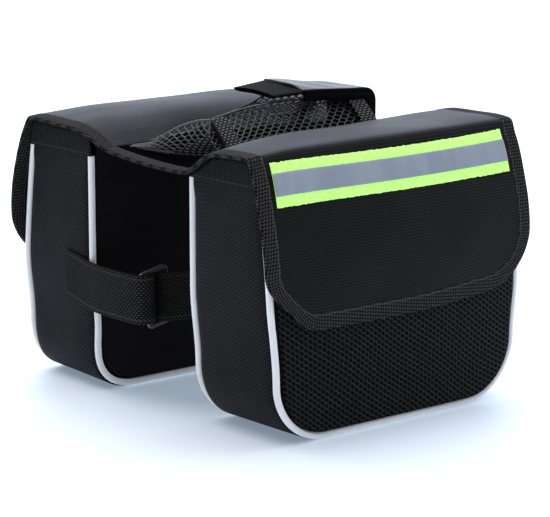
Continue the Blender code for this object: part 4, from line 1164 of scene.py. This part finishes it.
# a flat band standing on edge: the rounded section carried along the route
def makeStrap(word, route, count, material):
    line = throughPoints(route, count)
    flat = joined(line[:, 0], line[:, 1], 0.0)
    way = heading(flat, 0)
    out = joined(way[:, 1], -way[:, 0], 0.0)
    section, height = bandSection(26, 0.25, 0.7)
    points = flat[:, None] + out[:, None] * ((height + 0.5) * strap["cloth"])[:, None]
    points[..., 2] = strap["height"] + line[:, 2, None] + strap["width"] * (section - 0.5)
    uv = bandUv(runLength(flat, 0)[:, None], section, strap["width"])
    return gridPiece(f"strapWeb_{word}", points, uv, material, [f"strap_{word}"], wrap=True,
                     sharp=60.0)


# flat bars with rounded edges round one slot, stood on edge and leaning
def makeRing():
    tall = strap["width"] + 2 * strap["ringSlack"] + strap["ringBar"]
    wide = strap["ringWidth"] - strap["ringBar"]
    corner = strap["ringCorner"]
    angle = np.linspace(0.0, 2 * math.pi, 64, endpoint=False)
    cosine, sine = np.cos(angle), np.sin(angle)
    x = np.sign(cosine) * (wide / 2 - corner) + corner * cosine
    z = np.sign(sine) * (tall / 2 - corner) + corner * sine
    section = np.linspace(0.0, 2 * math.pi, 17)[:-1]
    across = np.sign(np.cos(section)) * np.abs(np.cos(section))**0.5 * strap["ringBar"] / 2
    deep = np.sign(np.sin(section)) * np.abs(np.sin(section))**0.5 * strap["ringPlate"] / 2
    px = x[:, None] + cosine[:, None] * across
    pz = z[:, None] + sine[:, None] * across
    py = deep[None] + 0 * px
    lean = -math.radians(strap["ringLean"])
    turnedX = px * math.cos(lean) + pz * math.sin(lean)
    turnedZ = -px * math.sin(lean) + pz * math.cos(lean)
    points = joined(ringX + turnedX, py, strap["height"] + turnedZ)
    points = np.concatenate([points, points[:1]])
    uv = joined(np.linspace(0.0, 110.0, 65)[:, None], np.linspace(0.0, 10.0, 17))
    return gridPiece("slideRing", points, uv, ringPlastic, ["strap_ring"], wrap=True,
                     caps=False, sharp=60.0)


makeStrap("left", leftRoute(), 160, strapWeb)
# the right strap takes the darker copy of the webbing: painted shade
makeStrap("right", rightRoute(), 130, shadedWeb)
makeRing()
print("strap made")


# Floor, light and camera

stageLook = {  # colours, strengths and angles of the light, and the camera fitted to the photo
    "floor": (0.80, 0.84, 0.90), "floorRoughness": 0.55, "glow": 0.30, "glowColour": (0.62, 0.80, 1.0),
    "sun": 1.9, "sunWidth": 60.0, "sunColour": (1.0, 0.985, 0.96), "sunTurn": (-16.0, -8.0, 0.0),
    "dim": 0.15, "bright": 2.25, "brightFrom": (0.78, 0.52, 0.35), "brightShare": 0.95,
    "dimColour": (1.0, 0.96, 0.93), "brightColour": (0.76, 0.84, 1.0), "backdrop": 1.05,
    "cameraAt": (-0.9134, -1.0878, 0.3698), "cameraTilt": 11.70, "cameraTurn": -40.21,
    "focus": 2439.7, "width": 550.0, "sensor": 36.0,
}


# pale floor with a faint blue glow
def makeFloor():
    mesh = bpy.data.meshes.new("floor")
    mesh.from_pydata([(-30, -30, 0), (30, -30, 0), (30, 30, 0), (-30, 30, 0)], [], [(0, 1, 2, 3)])
    pale = Finish("paleFloor", stageLook["floorRoughness"], Base_Color=(*stageLook["floor"], 1.0),
                  Emission_Color=(*stageLook["glowColour"], 1.0), Emission_Strength=stageLook["glow"])
    mesh.materials.append(pale.material)
    addObject("floor", mesh)


# studio light: a soft lamp overhead, and surroundings that are bright behind the bag and dim in
# front of it. The background that the camera sees is plain white.
def makeLight():
    data = bpy.data.lights.new("overhead", "SUN")
    data.energy = stageLook["sun"]
    data.angle = math.radians(stageLook["sunWidth"])
    data.color = stageLook["sunColour"]
    addObject("overhead", data).rotation_euler = np.radians(stageLook["sunTurn"])
    view = bpy.context.scene.view_settings
    view.view_transform, view.look = "Standard", "None"
    world = bpy.data.worlds.new("studio")
    world.use_nodes = True
    w = Wiring(world.node_tree)
    back = world.node_tree.nodes["Background"]
    toward = w.add("ShaderNodeVectorMath", operation="DOT_PRODUCT")
    w.feed(toward.inputs[0], w.add("ShaderNodeTexCoord").outputs["Generated"])
    toward.inputs[1].default_value = stageLook["brightFrom"]
    share = w.ramp(toward.outputs["Value"], 0.0, stageLook["brightShare"])
    level = w.maths("MULTIPLY_ADD", share, stageLook["bright"], stageLook["dim"])
    seen = w.add("ShaderNodeLightPath").outputs["Is Camera Ray"]
    around = w.mix(share, stageLook["dimColour"], stageLook["brightColour"])
    w.feed(back.inputs[0], w.mix(seen, around, (1.0, 1.0, 1.0)))
    w.feed(back.inputs[1], w.maths("MAXIMUM", level, w.maths("MULTIPLY", seen, stageLook["backdrop"])))
    bpy.context.scene.world = world


# camera fitted to the photo: focus and width in its pixels, tilted down and turned
def makeCamera():
    data = bpy.data.cameras.new("camera")
    data.sensor_width = stageLook["sensor"]
    data.lens = stageLook["focus"] / stageLook["width"] * stageLook["sensor"]
    camera = addObject("camera", data)
    camera.location = stageLook["cameraAt"]
    tilt, turn = math.radians(90.0 - stageLook["cameraTilt"]), math.radians(stageLook["cameraTurn"])
    camera.rotation_euler = (tilt, 0.0, turn)
    bpy.context.scene.camera = camera


makeFloor()
makeLight()
makeCamera()
print("stage made")
